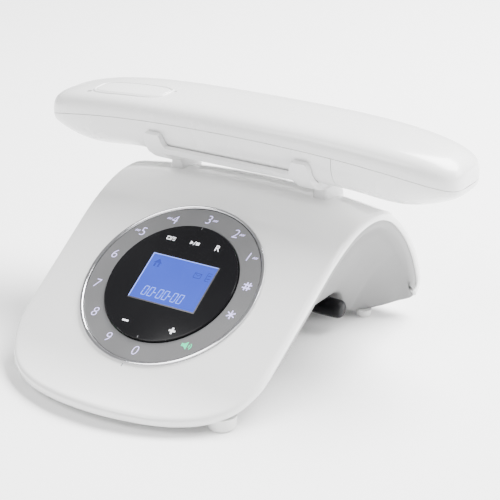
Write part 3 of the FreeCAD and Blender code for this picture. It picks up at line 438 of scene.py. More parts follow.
def half_width(y):
    """The band's half width at the plan position y: an elliptical nose, then slowly wider."""
    middle = FRONT_Y + NOSE_DEPTH
    if y < middle:
        return FRONT_HALF * math.sqrt(max(0.0, 1 - ((y - middle) / NOSE_DEPTH) ** 2))
    return FRONT_HALF + (REAR_HALF - FRONT_HALF) * (y - middle) / (100.0 - middle)


def distance_at(x, y):
    """How far along the deck's line at x the plan position y lies."""
    low, high = 0.0, SPLIT + 10
    for _ in range(40):
        middle = (low + high) / 2
        if follow(x, deck_reach(x, middle))[0] < y:
            low = middle
        else:
            high = middle
    return low


def settled_half(reach):
    """The band's half width where the line that reach(x) gives meets its edge."""
    half = REAR_HALF - 2.0
    for _ in range(6):
        half = half_width(follow(half, reach(half))[0])
    return half


def front_outline():
    """The flat outline (x, distance) from the split line's right end round the nose to its left end."""
    middle = FRONT_Y + NOSE_DEPTH
    widest = settled_half(lambda x: deck_reach(x, SPLIT))
    split_y = follow(widest, deck_reach(widest, SPLIT))[0]
    right = [(widest, SPLIT)]
    side_count, nose_count = 22, 44
    for i in range(1, side_count):
        y = split_y + (middle - split_y) * i / side_count
        x = half_width(y)
        right.append((x, distance_at(x, y)))
    for i in range(nose_count + 1):
        angle = math.pi / 2 * i / nose_count
        x = FRONT_HALF * math.cos(angle)
        y = middle - NOSE_DEPTH * math.sin(angle)
        right.append((x, distance_at(x, y)))
    return right + [(-x, d) for x, d in right[-2::-1]]


# Each ring of the band's rim: how far in from the outline, and how deep.
RIM_STEPS = 7
RIM_ANGLES = [math.pi / 2 * i / RIM_STEPS for i in range(RIM_STEPS + 1)]
RIM = [(BAND_EDGE * (1 - math.sin(a)), BAND_EDGE * (1 - math.cos(a))) for a in RIM_ANGLES]
RIM += [(0.0, BAND - 0.6), (0.18, BAND - 0.18), (0.6, BAND), (BAND_EDGE, BAND)]


def front_zone():
    """The deck round the dial: rings that grow from the dial's hole to the outline."""
    outline = front_outline()
    count = len(outline)
    normals = []
    for i, (x, d) in enumerate(outline):
        before, after = outline[max(i - 1, 0)], outline[min(i + 1, count - 1)]
        along = Vector((after[0] - before[0], after[1] - before[1])).normalized()
        normal = Vector((-along.y, along.x))
        if i in (0, count - 1):
            normal = Vector((math.copysign(1.0, x), 0.0))
        elif normal.dot(Vector((x, d - DIAL_SPOT))) < 0:
            normal = -normal
        normals.append(normal)
    rim_rows = []
    for inset, depth in RIM:
        row = []
        for (x, d), normal in zip(outline, normals):
            spot = (x - normal.x * inset, max(0.0, d - normal.y * inset))
            row.append(on_arch(spot[0], deck_reach(*spot), depth))
        rim_rows.append(row)
    border = [(x - n.x * BAND_EDGE, d - n.y * BAND_EDGE) for (x, d), n in zip(outline, normals)]
    columns = 48
    left, right = border[-1], border[0]
    split = [(left[0] + (right[0] - left[0]) * i / columns, SPLIT) for i in range(1, columns)]
    loop = border + split
    rings = 16
    top, under = [], []
    for k in range(rings + 1):
        share = k / rings
        upper, lower = [], []
        for x, d in loop:
            ray = Vector((x, d - DIAL_SPOT))
            hole = ray.normalized() * HOLE_RADIUS
            spot = hole.lerp(ray, share)
            place = (spot.x, spot.y + DIAL_SPOT)
            reach = deck_reach(*place)
            upper.append(on_arch(place[0], reach))
            lower.append(on_arch(place[0], reach, BAND))
        top.append(upper)
        under.append(lower)
    wall = [top[0], under[0]]
    return joined(strip(top, True), strip(wall, True), strip(under, True), strip(rim_rows)), columns


def rear_zone(columns):
    """The deck above the dial, the ridge, the back and the curl, as rows across."""
    rows = [(RIDGE_STRETCH, i / 4) for i in range(5)]
    for index in range(RIDGE_STRETCH + 1, CURL_STRETCH):
        rows += [(index, (i + 1) / 12) for i in range(12)]
    rows += [(CURL_STRETCH, (i + 1) / 14) for i in range(14)]
    top, under, left, right = [], [], [], []
    for index, part in rows:
        def reach(x):
            if index > RIDGE_STRETCH:
                return index, part
            ridge_end = sum(length for length, _ in stretches(x)[: RIDGE_STRETCH + 1])
            return deck_reach(x, SPLIT + (ridge_end - SPLIT) * part)

        half = settled_half(reach)
        inner = half - BAND_EDGE
        across = [-inner + 2 * inner * j / columns for j in range(columns + 1)]
        top.append([on_arch(x, reach(x)) for x in across])
        under.append([on_arch(x, reach(x), BAND) for x in across])
        for side, rim in ((-1, left), (1, right)):
            edge = [(side * (half - inset), depth) for inset, depth in RIM]
            rim.append([on_arch(x, reach(x), depth) for x, depth in edge])
    end = [top[-1], under[-1]]
    caps = [(row, [tuple(range(len(row)))]) for row in (left[-1], right[-1])]
    return joined(strip(top), strip(under), strip(left), strip(right), strip(end), *caps)


def make_band():
    """The arched moulding that is the deck, the ridge and the back."""
    front, columns = front_zone()
    shape = joined(front, rear_zone(columns))
    band = piece("deck_band", shape, PEARL_WHITE, 50.0)
    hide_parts("deck_cover")


make_band()


# ---- the lower housing ----

ARCH_FRONT, ARCH_BACK = 18.0, 41.5
POD_TURN, POD_RADIUS = math.radians(55.0), 8.0
RAMP_TURN, RAMP_RADIUS = math.radians(34.0), 10.0
KEEL_FRONT, LIP_FRONT = -54.0, -53.0
ROOF = BAND + 0.15


def walk(start, heading, pieces, step):
    """Points along straights and arcs, each given as a length and a turn."""
    y, z = start
    points = [(y, z)]
    for length, turn in pieces:
        steps = max(2, int(round(length / step)))
        for _ in range(steps):
            half = turn / steps / 2
            chord = length / steps * (math.sin(half) / half if abs(half) > 1e-9 else 1.0)
            y += chord * math.cos(heading + half)
            z += chord * math.sin(heading + half)
            heading += 2 * half
            points.append((y, z))
    return points


def slope(rise, turn, radius):
    """The straight between two arcs that climb by rise, and the plan length of all three."""
    straight = (rise - 2 * radius * (1 - math.cos(turn))) / math.sin(turn)
    return straight, 2 * radius * math.sin(turn) + straight * math.cos(turn)


def keel_points():
    """The underside at the middle, from the rear curl over the arch to the front."""
    y, z, heading = follow(0.0, (CURL_STRETCH, 1.0))
    flat_turn = -math.pi - heading
    pod_straight, pod_run = slope(ARCH - BOTTOM, POD_TURN, POD_RADIUS)
    ramp_straight, ramp_run = slope(ARCH - BOTTOM, RAMP_TURN, RAMP_RADIUS)
    bottom_y = y - CURL_RADIUS * math.sin(abs(flat_turn))
    pieces = [
        (abs(flat_turn) * CURL_RADIUS, flat_turn),
        (bottom_y - pod_run - ARCH_BACK, 0.0),
        (POD_TURN * POD_RADIUS, -POD_TURN), (pod_straight, 0.0), (POD_TURN * POD_RADIUS, POD_TURN),
        (ARCH_BACK - ARCH_FRONT, 0.0),
        (RAMP_TURN * RAMP_RADIUS, RAMP_TURN), (ramp_straight, 0.0),
        (RAMP_TURN * RAMP_RADIUS, -RAMP_TURN),
        (ARCH_FRONT - ramp_run - KEEL_FRONT, 0.0),
    ]
    return walk((y, z), heading, pieces, 1.0)


def arch_line(x, depth, front):
    """The arch's line at x and this depth, from the front to the rear curl."""
    result = []
    for index, (length, _) in enumerate(stretches(x)):
        steps = max(3, int(length / 1.5))
        for i in range(steps):
            y, z, heading = follow(x, (index, i / steps))
            if y > front:
                result.append((y + depth * math.sin(heading), z - depth * math.cos(heading)))
    y, z, heading = follow(x, (CURL_STRETCH, 1.0))
    result.append((y + depth * math.sin(heading), z - depth * math.cos(heading)))
    return result


def resample(points, count):
    """The same line as count points an equal way apart."""
    lengths = [0.0]
    for (y0, z0), (y1, z1) in zip(points, points[1:]):
        lengths.append(lengths[-1] + math.hypot(y1 - y0, z1 - z0))
    result, k = [], 0
    for i in range(count):
        target = lengths[-1] * i / (count - 1)
        while k < len(points) - 2 and lengths[k + 1] < target:
            k += 1
        share = (target - lengths[k]) / max(1e-9, lengths[k + 1] - lengths[k])
        result.append(tuple(a + share * (b - a) for a, b in zip(points[k], points[k + 1])))
    return result


HEEL_FRONT, HEEL_BACK, HEEL_HALF, HEEL_SPREAD = 57.0, 74.5, 60.0, 3.6
HEEL_LEVEL, SPREAD_FRONT, SPREAD_RUN, REAR_EDGE = 9.0, 72.0, 4.5, 76.3
FLANGE, LIP_STEP, LIP_BULGE, LIP_HEIGHT = 6.0, 1.3, 0.35, 1.2
NOSE_INSET, NOSE_FRONT, NOSE_RUN = 3.5, -36.0, 14.0
CORNER, WALL_DIP = 6.0, 0.1
HOUSING_ROWS, WALL_STEPS, CORNER_STEPS, BOTTOM_STEPS = 170, 18, 6, 8


def heel_half(y):
    """The underside's half width: the keel's under the arch, nearly the band's at the rear edge."""
    share = min(1.0, max(0.0, (y - HEEL_FRONT) / (HEEL_BACK - HEEL_FRONT)))
    spread = HEEL_SPREAD * smoothstep((y - SPREAD_FRONT) / SPREAD_RUN)
    return KEEL_HALF + (HEEL_HALF - KEEL_HALF) * share ** 1.25 + spread


def underside(x, y, z):
    """The underside's level at x: at the rear it rises to the sides with the band's lower edge."""
    edge = follow(x, (CURL_STRETCH, 1.0))[1] - follow(0.0, (CURL_STRETCH, 1.0))[1]
    return z + edge * smoothstep((y - HEEL_FRONT) / (REAR_EDGE - HEEL_FRONT))


def make_housing():
    """The bottom moulding: a lip under the band, hollow side walls, a wide heel and the arched keel."""
    depths = (BAND - 0.05, ROOF + LIP_HEIGHT, ROOF + LIP_DEPTH)
    lines = [resample(arch_line(LIP_HALF, depth, LIP_FRONT)[::-1], HOUSING_ROWS) for depth in depths]
    lines.append(resample(keel_points(), HOUSING_ROWS))
    rows = []
    for (roof_y, roof_z), (lip_y, lip_z), (in_y, in_z), (y, z) in zip(*lines):
        half = heel_half(y) if z < HEEL_LEVEL else KEEL_HALF
        corner = Vector((half, y, underside(half, y, z)))
        edge = half_width(roof_y) - LIP_INSET - NOSE_INSET * smoothstep((NOSE_FRONT - roof_y) / NOSE_RUN)
        side = [(edge - FLANGE, roof_y, roof_z), (edge, roof_y, roof_z), (edge, lip_y, lip_z)]
        near = Vector((edge - LIP_STEP, in_y, in_z))
        start = Vector(side[-1])
        run = corner - near
        for t in (0.35, 0.7):
            spot = start.lerp(near, t)
            side.append((spot.x + LIP_BULGE * math.sin(math.pi * t), spot.y, spot.z))
        side.append(tuple(near))
        for i in range(1, WALL_STEPS):
            share = i / WALL_STEPS
            dip = math.sin(math.pi * share ** 0.7) * WALL_DIP * min(run.length, LIP_HALF)
            spot = near + run * share
            side.append((spot.x - dip, spot.y, spot.z))
        before = Vector(side[-1])
        inboard = half - CORNER
        after = Vector((inboard, y, underside(inboard, y, z)))
        for i in range(1, CORNER_STEPS):
            t = i / CORNER_STEPS
            side.append(tuple(before * (1 - t) ** 2 + corner * 2 * t * (1 - t) + after * t * t))
        for i in range(BOTTOM_STEPS):
            x = inboard * (1 - i / BOTTOM_STEPS)
            side.append((x, y, underside(x, y, z)))
        middle = (0.0, y, underside(0.0, y, z))
        rows.append(side + [middle] + [(-px, py, pz) for px, py, pz in side[::-1]])
    front, front_top = rows[-1], lines[0][-1][1]
    closing = [front, [(x, y, max(z, front_top)) for x, y, z in front]]
    shape = joined(strip(rows), strip(closing))
    # The housing's colour carries painted shade for its recessed walls.
    housing = piece("base_housing", shape, WALL_GREY_AND_SHADE, 60.0)
    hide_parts("lower_housing")


make_housing()


# ---- feet ----


# Each pair of feet: label, x, y, radius, height.
FEET = (("front", 49.0, -60.0, 6.2, 5.6), ("rear", 45.0, 63.4, 3.6, 3.4))
SIDES = (("left", -1), ("right", 1))


def foot_outline(radius, height):
    """A foot's section, a little rounded where it meets the table."""
    flare = ((0.72, 0.0), (0.86, 0.25), (0.92, 0.8), (0.94, 1.6))
    return [(0.0, 0.0), *[(radius * share, level) for share, level in flare], (radius, height), (0.0, height)]


def make_feet():
    for label, x, y, radius, height in FEET:
        outline = foot_outline(radius, height)
        for name, side in SIDES:
            place = moved(side * x, y, 0.0)
            foot = lathe(f"{label}_foot_{name}", outline, FOOT_WHITE, place, 64)
            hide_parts(f"{label}_feet")


make_feet()

# ---- handset ----

PLAN_POWER, CROWN_END_POWER, BELLY_END_POWER = 4.4, 7.0, 2.72
CROWN_POWER, BELLY_POWER = 3.2, 2.42
SEAM_DROOP, SEAM_CURL, CROWN_RISE = 0.675, 0.117, 0.3
KEY_X, KEY_Y, KEY_HALF, KEY_WIDTH = -59.4, 32.8, 18.7, 6.7
KEY_POWER, KEY_SKIN = 3.8, 1.55
KEY_GAP, RIM_WIDTH, KEY_LIFT = 0.3, 0.9, 0.28
CUT_GAP, CUT_LEVELS = 0.35, (84.0, 110.0)
SECTION_STEPS = 36
TIP_CUT, INNER_TIP_CUT = 0.03, 0.05
# The pits beyond the key's ends: x, y, half length, half width.
KEY_PITS = ((-79.9, 26.9, 1.5, 0.9), (-38.8, 36.2, 1.1, 0.8))


def seam_level(x):
    """The height of the line where the two shells meet, which droops to both ends."""
    share = x / DIAL_RADIUS
    return SEAM - SEAM_DROOP * share**2 - SEAM_CURL * share**4


def end_share(x, half, power):
    """1 along the handset's middle, falling to 0 at its ends."""
    return max(0.0, 1.0 - (abs(x) / half) ** power) ** (1 / power)


def shell_sizes(x, side, skin):
    """Half width and height of the handset's shell at x."""
    half = HANDSET_HALF - skin
    width = (HANDSET_WIDTH - skin) * end_share(x, half, PLAN_POWER)
    if side > 0:
        full = CROWN + CROWN_RISE * (x / DIAL_RADIUS) ** 2
        return width, (full - skin - SEAM_GAP) * end_share(x, half, CROWN_END_POWER)
    pad = END_PAD * math.exp(-(((abs(x) - END_PAD_X) / END_PAD_REACH) ** 2))
    depth = BELLY + pad - (SEAM - seam_level(x)) - skin - SEAM_GAP
    return width, depth * end_share(x, half, BELLY_END_POWER)


def section(x, side, skin):
    """Half of the handset's section at x: side 1 is the top shell and -1 the lower."""
    width, height = shell_sizes(x, side, skin)
    power = CROWN_POWER if side > 0 else BELLY_POWER
    level = seam_level(x) + side * SEAM_GAP
    row = []
    for i in range(SECTION_STEPS + 1):
        angle = math.pi * i / SECTION_STEPS
        c, s = math.cos(angle), math.sin(angle)
        across = math.copysign(abs(c) ** (2 / power), c) * width
        row.append((x, HANDSET_Y + across, level + side * height * s ** (2 / power)))
    return row


def stations(low, high, count):
    """Places along the handset, closer together towards its rounded ends."""
    first, last = (math.asin(max(-1.0, min(1.0, x / HANDSET_HALF))) for x in (low, high))
    return [HANDSET_HALF * math.sin(first + (last - first) * i / count) for i in range(count + 1)]


def shell_piece(name, side, low, high, body="handset"):
    """One of the handset's shells, between two places along it, with its thickness."""
    limit = HANDSET_HALF - TIP_CUT
    places = stations(max(low, -limit), min(high, limit), 150 if high - low > 100 else 70)
    inner_limit = HANDSET_HALF - SKIN - INNER_TIP_CUT
    outer = [section(x, side, 0.0) for x in places]
    inner = [section(max(-inner_limit, min(inner_limit, x)), side, SKIN) for x in places]
    parts = [strip(outer), strip(inner)]
    parts += [strip([[row[k] for row in outer], [row[k] for row in inner]]) for k in (0, -1)]
    for k, place in ((0, low), (-1, high)):
        if abs(place) < HANDSET_HALF:
            parts.append(strip([outer[k], inner[k]]))
        else:
            face = tuple(range(len(outer[k])))
            parts += [(outer[k], [face]), (inner[k], [face])]
    return piece(name, joined(*parts), SATIN_WHITE, 62.0, body=body)


def crown_height(x, y, lift):
    """The height this far above the top shell's surface."""
    width, height = shell_sizes(x, 1, 0.0)
    share = min(1.0, abs((y - HANDSET_Y) / max(width, 1e-6)))
    return seam_level(x) + SEAM_GAP + height * (1 - share**CROWN_POWER) ** (1 / CROWN_POWER) + lift


def key_loop(grow):
    """The key's oblong outline in plan, grown all round."""
    half, width = KEY_HALF + grow, KEY_WIDTH + grow
    return [(KEY_X + ux * half, KEY_Y + uy * width) for ux, uy in ring(96, 2 / KEY_POWER)]


def carried(loop, lift):
    """A plan outline laid on the top shell, this far above it."""
    return [(x, y, crown_height(x, y, lift)) for x, y in loop]


def make_key():
    """The talk key, with edges rounded in steps, and the raised rim round it."""
    rings = [key_loop(grow) for grow in (-0.9, -0.5, -0.2, -0.03, 0.0)]
    rows = []
    for share in (0.02, 0.15, 0.3, 0.45, 0.6, 0.75, 0.88):
        loop = [(KEY_X + (x - KEY_X) * share, KEY_Y + (y - KEY_Y) * share) for x, y in rings[0]]
        rows.append(carried(loop, KEY_LIFT))
    rows += [carried(loop, lift) for loop, lift in zip(rings, (KEY_LIFT, 0.26, 0.16, 0.0, -0.25))]
    rows += [carried(loop, -KEY_SKIN) for loop in (rings[-1], key_loop(-1.5))]
    key = piece("talk_key_cap", capped(rows), KEY_WHITE, 50.0, body="talk_key")
    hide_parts("talk_key")
    outer = KEY_GAP + RIM_WIDTH
    steps = [(KEY_GAP, -1.6), (KEY_GAP, 0.12), (KEY_GAP + 0.2, 0.34), (KEY_GAP + RIM_WIDTH * 0.55, 0.42),
             (outer, 0.2), (outer + 0.25, -0.1), (outer + 0.1, -1.6)]
    rim_rows = [carried(key_loop(grow), lift) for grow, lift in steps]
    shape = strip(rim_rows + rim_rows[:1], wrap=True)
    rim = piece("key_rim", shape, SATIN_WHITE, 60.0, body="handset")
    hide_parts("talk_key_rim")


def cut_key_opening(shell):
    """Cuts the key's opening through the top shell, and a small pit beyond each of its ends."""
    outlines = [key_loop(KEY_GAP + CUT_GAP)]
    for x, y, half_x, half_y in KEY_PITS:
        outlines.append([(x + half_x * c, y + half_y * s) for c, s in ring(24)])
    blocks = [capped([[(x, y, level) for x, y in outline] for level in CUT_LEVELS]) for outline in outlines]
    cutter = add_object("key_cutter", make_mesh("key_cutter", *joined(*blocks)))
    modifier = shell.modifiers.new("opening", "BOOLEAN")
    modifier.operation, modifier.object, modifier.solver = "DIFFERENCE", cutter, "EXACT"
    apply_modifiers(shell)
    bpy.data.objects.remove(cutter)


def apply_modifiers(obj):
    graph = bpy.context.evaluated_depsgraph_get()
    graph.update()
    mesh = bpy.data.meshes.new_from_object(obj.evaluated_get(graph))
    obj.modifiers.clear()
    obj.data = mesh


def make_handset():
    """The top shell, and the lower shell with the battery cover as its right end."""
    top = shell_piece("handset_top", 1, -HANDSET_HALF, HANDSET_HALF)
    cut_key_opening(top)
    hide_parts("handset_top_shell")
    lower = shell_piece("handset_lower", -1, -HANDSET_HALF, COVER_EDGE - COVER_GAP / 2)
    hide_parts("handset_lower_shell")
    door = shell_piece("battery_door", -1, COVER_EDGE + COVER_GAP / 2, HANDSET_HALF, "battery_cover")
    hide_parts("battery_cover")


make_handset()
make_key()

# ---- cradle ----

CRADLE_HALF, CRADLE_GAP, CRADLE_WALL = 42.0, 0.35, 2.6
RAIL_TOP, RAIL_BOTTOM, LOBE_TOP, LOBE_X, LOBE_HALF = 79.4, 75.8, 85.6, 37.5, 3.2
SADDLE_BOTTOM, RAIL_EDGE, RAIL_STEPS = 66.0, 0.5, 12
STEM_X, STEM_Y, STEM_HALF, STEM_DEEP = 37.3, 41.6, 3.2, 7.5
# A stem's levels from the ridge up, and how much wider it is there.
STEM_LEVELS = ((60.0, 1.0), (63.5, 0.8), (65.2, 0.35), (66.4, 0.05), (68.0, 0.0), (69.4, 0.0))


def lobe_share(x, reach):
    """1 at a lobe's middle and 0 on the rail between them."""
    return 1 - smoothstep((abs(abs(x) - LOBE_X) - LOBE_HALF) / reach)


def trough_point(x, offset, level, side):
    """The point at this level on the handset's belly moved out by offset; side -1 is the front."""
    width, height = shell_sizes(x, -1, -offset)
    depth = min(1.0, max(0.0, (seam_level(x) - SEAM_GAP - level) / height))
    across = width * (1 - depth**BELLY_POWER) ** (1 / BELLY_POWER)
    return (x, HANDSET_Y + side * across, level)


def cradle_row(x, side):
    """The rail's section at x, closed: it reaches down to a saddle under the lobes."""
    top = RAIL_TOP + (LOBE_TOP - RAIL_TOP) * lobe_share(x, 2.6) ** 0.8
    bottom = RAIL_BOTTOM + (SADDLE_BOTTOM - RAIL_BOTTOM) * lobe_share(x, 1.6)
    deepest = seam_level(x) - SEAM_GAP - shell_sizes(x, -1, -CRADLE_GAP)[1]
    low_inner, low_outer = max(bottom, deepest), max(bottom, deepest - CRADLE_WALL)
    inner, outer = [], []
    for i in range(RAIL_STEPS + 1):
        share = (i / RAIL_STEPS) ** 0.8
        inner.append(trough_point(x, CRADLE_GAP, top + (low_inner - top) * share, side))
        level = top - RAIL_EDGE + (low_outer - top + RAIL_EDGE) * share
        outer.append(trough_point(x, CRADLE_GAP + CRADLE_WALL, level, side))
    edge = Vector(inner[0]).lerp(Vector(outer[0]), 0.5) + Vector((0.0, 0.0, 0.55))
    return inner + outer[::-1] + [tuple(edge)]


def stem_loop(side, level, grow):
    """A stem's rounded outline at this level."""
    half, deep = STEM_HALF + grow, STEM_DEEP + grow
    return [(side * STEM_X + ux * half, STEM_Y + uy * deep, level) for ux, uy in ring(48, 0.3)]


def make_cradle():
    """Two rails along the handset, joined by a lobed saddle over each stem."""
    count = 168
    for side, label in ((-1, "front"), (1, "rear")):
        rows = [cradle_row(-CRADLE_HALF + 2 * CRADLE_HALF * i / count, side) for i in range(count + 1)]
        points, faces = strip(rows, wrap=True)
        size = len(rows[0])
        half = (size - 1) // 2
        for base in (0, len(points) - size):
            last = base + size
            faces += [(base + j, base + j + 1, last - 3 - j, last - 2 - j) for j in range(half - 1)]
            faces.append((base, last - 2, last - 1))
        rail = piece(f"cradle_rail_{label}", (points, faces), CRADLE_WHITE, 55.0)
        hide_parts("cradle")
    for label, side in SIDES:
        shape = capped([stem_loop(side, level, grow) for level, grow in STEM_LEVELS])
        stem = piece(f"cradle_stem_{label}", shape, CRADLE_WHITE)
        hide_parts("cradle")


make_cradle()

# ---- dial ----


def dial_place(x, y, level):
    """A place on the dial: x right, y up the deck, level above the bezel's top, in mm."""
    return DIAL_PLACE @ moved(x, y, level)


def make_dial():
    """The bezel, the touch ring and the glass, turned round the dial's axis."""
    bezel = [(39.5, -4.0), (40.2, -4.0), (40.2, -0.8), (41.0, -0.8), (41.0, -0.45), (40.85, -0.15),
             (40.55, 0.0), (40.1, 0.0), (39.75, -0.18), (39.5, -0.55)]
    touch = [(29.85, -1.9), (39.3, -1.9), (39.3, -0.95), (39.1, -0.75), (30.2, -0.75), (29.85, -1.0)]
    glass = [(0.0, -1.5), (29.6, -1.5), (29.6, 0.0), (29.45, 0.2), (29.1, 0.3), (0.0, 0.3)]
    for name, outline, material, slot, node in (
        ("bezel_ring", bezel, CHROME, "chrome_trim", "dial_bezel"),
        ("touch_ring", touch, RING_SILVER, "silver_ring", "dial_ring"),
        ("glass_disc", glass, BLACK_GLASS, "black_glass", "centre_glass"),
    ):
        made = lathe(name, outline, material, DIAL_PLACE, 160)
        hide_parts(node)


make_dial()


def flat_piece(name, polygons, x, y, level, material, thick=0.08, slot="light_guide"):
    """Thin raised print from outlines in millimetres round the point (x, y) of the dial."""
    points, faces = [], []
    for outline in polygons:
        base = len(points)
        count = len(outline)
        points += [(px, py, 0.0) for px, py in outline] + [(px, py, thick) for px, py in outline]
        faces.append(tuple(base + count + i for i in range(count)))
        for i in range(count):
            k = (i + 1) % count
            faces.append((base + i, base + k, base + count + k, base + count + i))
    return piece(name, (points, faces), material, 30.0, dial_place(x, y, level))


def lettering(name, text, x, y, size, material, level, slant=0.12, thin=0.0):
    """One character as a thin mesh, its middle on the point (x, y) of the dial."""
    curve = bpy.data.curves.new(name, "FONT")
    curve.body, curve.size, curve.shear = text, size * MM, slant
    curve.align_x, curve.align_y = "CENTER", "CENTER"
    curve.extrude, curve.offset = 0.03 * MM, thin * MM
    curve.resolution_u = 6
    holder = add_object(name + "_curve", curve)
    bpy.context.view_layer.update()
    mesh = bpy.data.meshes.new_from_object(holder)
    mesh.name = name
    bpy.data.objects.remove(holder)
    xs, ys = ([v.co[axis] for v in mesh.vertices] for axis in (0, 1))
    mesh.transform(Matrix.Translation((-(min(xs) + max(xs)) / 2, -(min(ys) + max(ys)) / 2, 0.0)))
    mesh.materials.clear()
    mesh.materials.append(material)
    obj = add_object(name, mesh, dial_place(x, y, level))
    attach(obj, "base")


def bar(x0, y0, x1, y1, width):
    """A straight stroke with blunt ends."""
    along = Vector((x1 - x0, y1 - y0)).normalized() * width / 2
    side = Vector((-along.y, along.x))
    a, b = Vector((x0, y0)), Vector((x1, y1))
    return [tuple(a - side), tuple(b - side), tuple(b + side), tuple(a + side)]


def bars(width, *ends):
    return [bar(*end, width) for end in ends]


def oblong(x0, y0, x1, y1):
    return [(x0, y0), (x1, y0), (x1, y1), (x0, y1)]


RING_LEVEL = -0.74
GLASS_LEVEL = 0.31
SYMBOL_RADIUS = 0.84 * DIAL_RADIUS
KEY_ANGLES = (("1", 38.0), ("2", 63.0), ("3", 90.0), ("4", 117.0), ("5", 142.0), ("6", 168.0), ("7", 195.0),
              ("8", 220.0), ("9", 247.0), ("0", 273.0))


def ring_spot(angle):
    """The point of the touch ring at this angle in degrees."""
    turn = math.radians(angle)
    return SYMBOL_RADIUS * math.cos(turn), SYMBOL_RADIUS * math.sin(turn)


def make_keys():
    """The numbers round the touch ring with their small marks, the star, the hash and the speaker."""
    for text, angle in KEY_ANGLES:
        x, y = ring_spot(angle)
        lettering(f"number_{text}", text, x, y, 6.4, SYMBOL, RING_LEVEL, thin=-0.11)
        if text in "12345":
            side = 3.0 if text in "123" else -3.0
            marks = [bar(side - 0.9 + k, -0.5, side - 0.2 + k, 0.5, 0.28) for k in (0.0, 0.8, 1.6)]
            flat_piece(f"mark_{text}", marks, x, y, RING_LEVEL, SYMBOL_FAINT)
    arms = []
    for a in (math.radians(30), math.radians(90), math.radians(150)):
        arms.append(bar(-2.1 * math.cos(a), -2.1 * math.sin(a), 2.1 * math.cos(a), 2.1 * math.sin(a), 0.5))
    flat_piece("star_symbol", arms, *ring_spot(-12.2), RING_LEVEL, SYMBOL)
    lines = bars(0.55, (-0.9 + 0.1, -2.0, -0.3, 2.0), (0.6, -2.0, 1.1, 2.0))
    lines += bars(0.5, (-2.0, -0.85, 1.9, -0.85), (-1.8, 0.75, 2.1, 0.75))
    flat_piece("hash_symbol", lines, *ring_spot(12.2), RING_LEVEL, SYMBOL)
    horn = [[(-2.4, -0.7), (-1.2, -0.7), (0.3, -1.9), (0.3, 1.9), (-1.2, 0.7), (-2.4, 0.7)]]
    sweep = [math.radians(a) for a in range(-50, 51, 10)]
    for radius in (1.0, 1.9):
        arc = [(0.5 + radius * math.cos(a), radius * math.sin(a)) for a in sweep]
        arc += [(0.5 + (radius - 0.4) * math.cos(a), (radius - 0.4) * math.sin(a)) for a in sweep[::-1]]
        horn.append(arc)
    flat_piece("speaker_symbol", horn, *ring_spot(-49.3), RING_LEVEL, SPEAKER_GREEN)


make_keys()


def make_glass_icons():
    """The soft keys printed on the glass, and a short notch above and below them."""
    book = bars(0.26, (-2.0, -0.8, -0.4, -0.8), (-2.0, 0.7, -0.4, 0.7), (-2.0, -0.9, -2.0, 0.8),
                (-0.4, -0.9, -0.4, 0.8), (0.0, -1.0, 0.6, 1.0), (1.0, -0.8, 2.2, -0.8), (1.0, 0.0, 2.2, 0.0),
                (1.0, 0.7, 2.2, 0.7))
    play = [[(-2.1, -0.9), (-0.7, 0.0), (-2.1, 0.9)], bar(-0.4, -1.0, 0.3, 1.0, 0.26),
            oblong(0.8, -0.7, 1.4, 0.7), oblong(1.7, -0.7, 2.3, 0.7)]
    minus = bars(0.75, (-1.5, 0, 1.5, 0))
    plus = bars(0.75, (-1.5, 0, 1.5, 0), (0, -1.5, 0, 1.5))
    notch = bars(0.25, (0, -0.5, 0, 0.5))
    for name, shape, x, y, material in (
        ("book_icon", book, -0.278, 0.501, SYMBOL_WHITE),
        ("play_icon", play, 0.015, 0.507, SYMBOL_WHITE),
        ("recall_letter", "R", 0.299, 0.511, SYMBOL_WHITE),
        ("minus_icon", minus, -0.236, -0.559, SYMBOL_WHITE),
        ("plus_icon", plus, 0.327, -0.536, SYMBOL_WHITE),
        ("notch_upper", notch, 0.0, 0.70, SEAM_GREY),
        ("notch_lower", notch, 0.0, -0.70, SEAM_GREY),
    ):
        x, y = x * DIAL_RADIUS, y * DIAL_RADIUS
        if name == "recall_letter":
            lettering(name, shape, x, y, 4.2, material, GLASS_LEVEL, slant=0.0)
        else:
            flat_piece(name, shape, x, y, GLASS_LEVEL, material)


make_glass_icons()


# ---- display ----

SCREEN_X, SCREEN_HALF_W, SCREEN_HALF_H = 1.5, 16.3, 11.4
# The left edge of each outlined digit, the row's bottom, a digit's width, height, stroke and slant.
DIGIT_STARTS, DIGIT_LOW = (-11.6, -8.6, -4.2, -1.2, 3.2, 6.2), -9.2
DIGIT_WIDTH, DIGIT_HEIGHT, DIGIT_STROKE, DIGIT_SLANT = 1.9, 4.4, 0.28, 0.12


def screen_digits():
    """Six outlined digits with a dash after the second and the fourth."""
    digits = []
    low, high = DIGIT_LOW, DIGIT_LOW + DIGIT_HEIGHT
    middle = (low + high) / 2
    for left in DIGIT_STARTS:
        right = left + DIGIT_WIDTH
        ends = [(left, low, right, low), (left, high, right, high)]
        for x in (left, right):
            ends += [(x, low + 0.2, x, middle - 0.15), (x, middle + 0.15, x, high - 0.2)]
        for stroke in bars(DIGIT_STROKE, *ends):
            digits.append([(px + DIGIT_SLANT * (py - low), py) for px, py in stroke])
    return digits + [bar(start, -7.0, start + 1.2, -7.0, 0.4) for start in (-6.2, 1.2)]


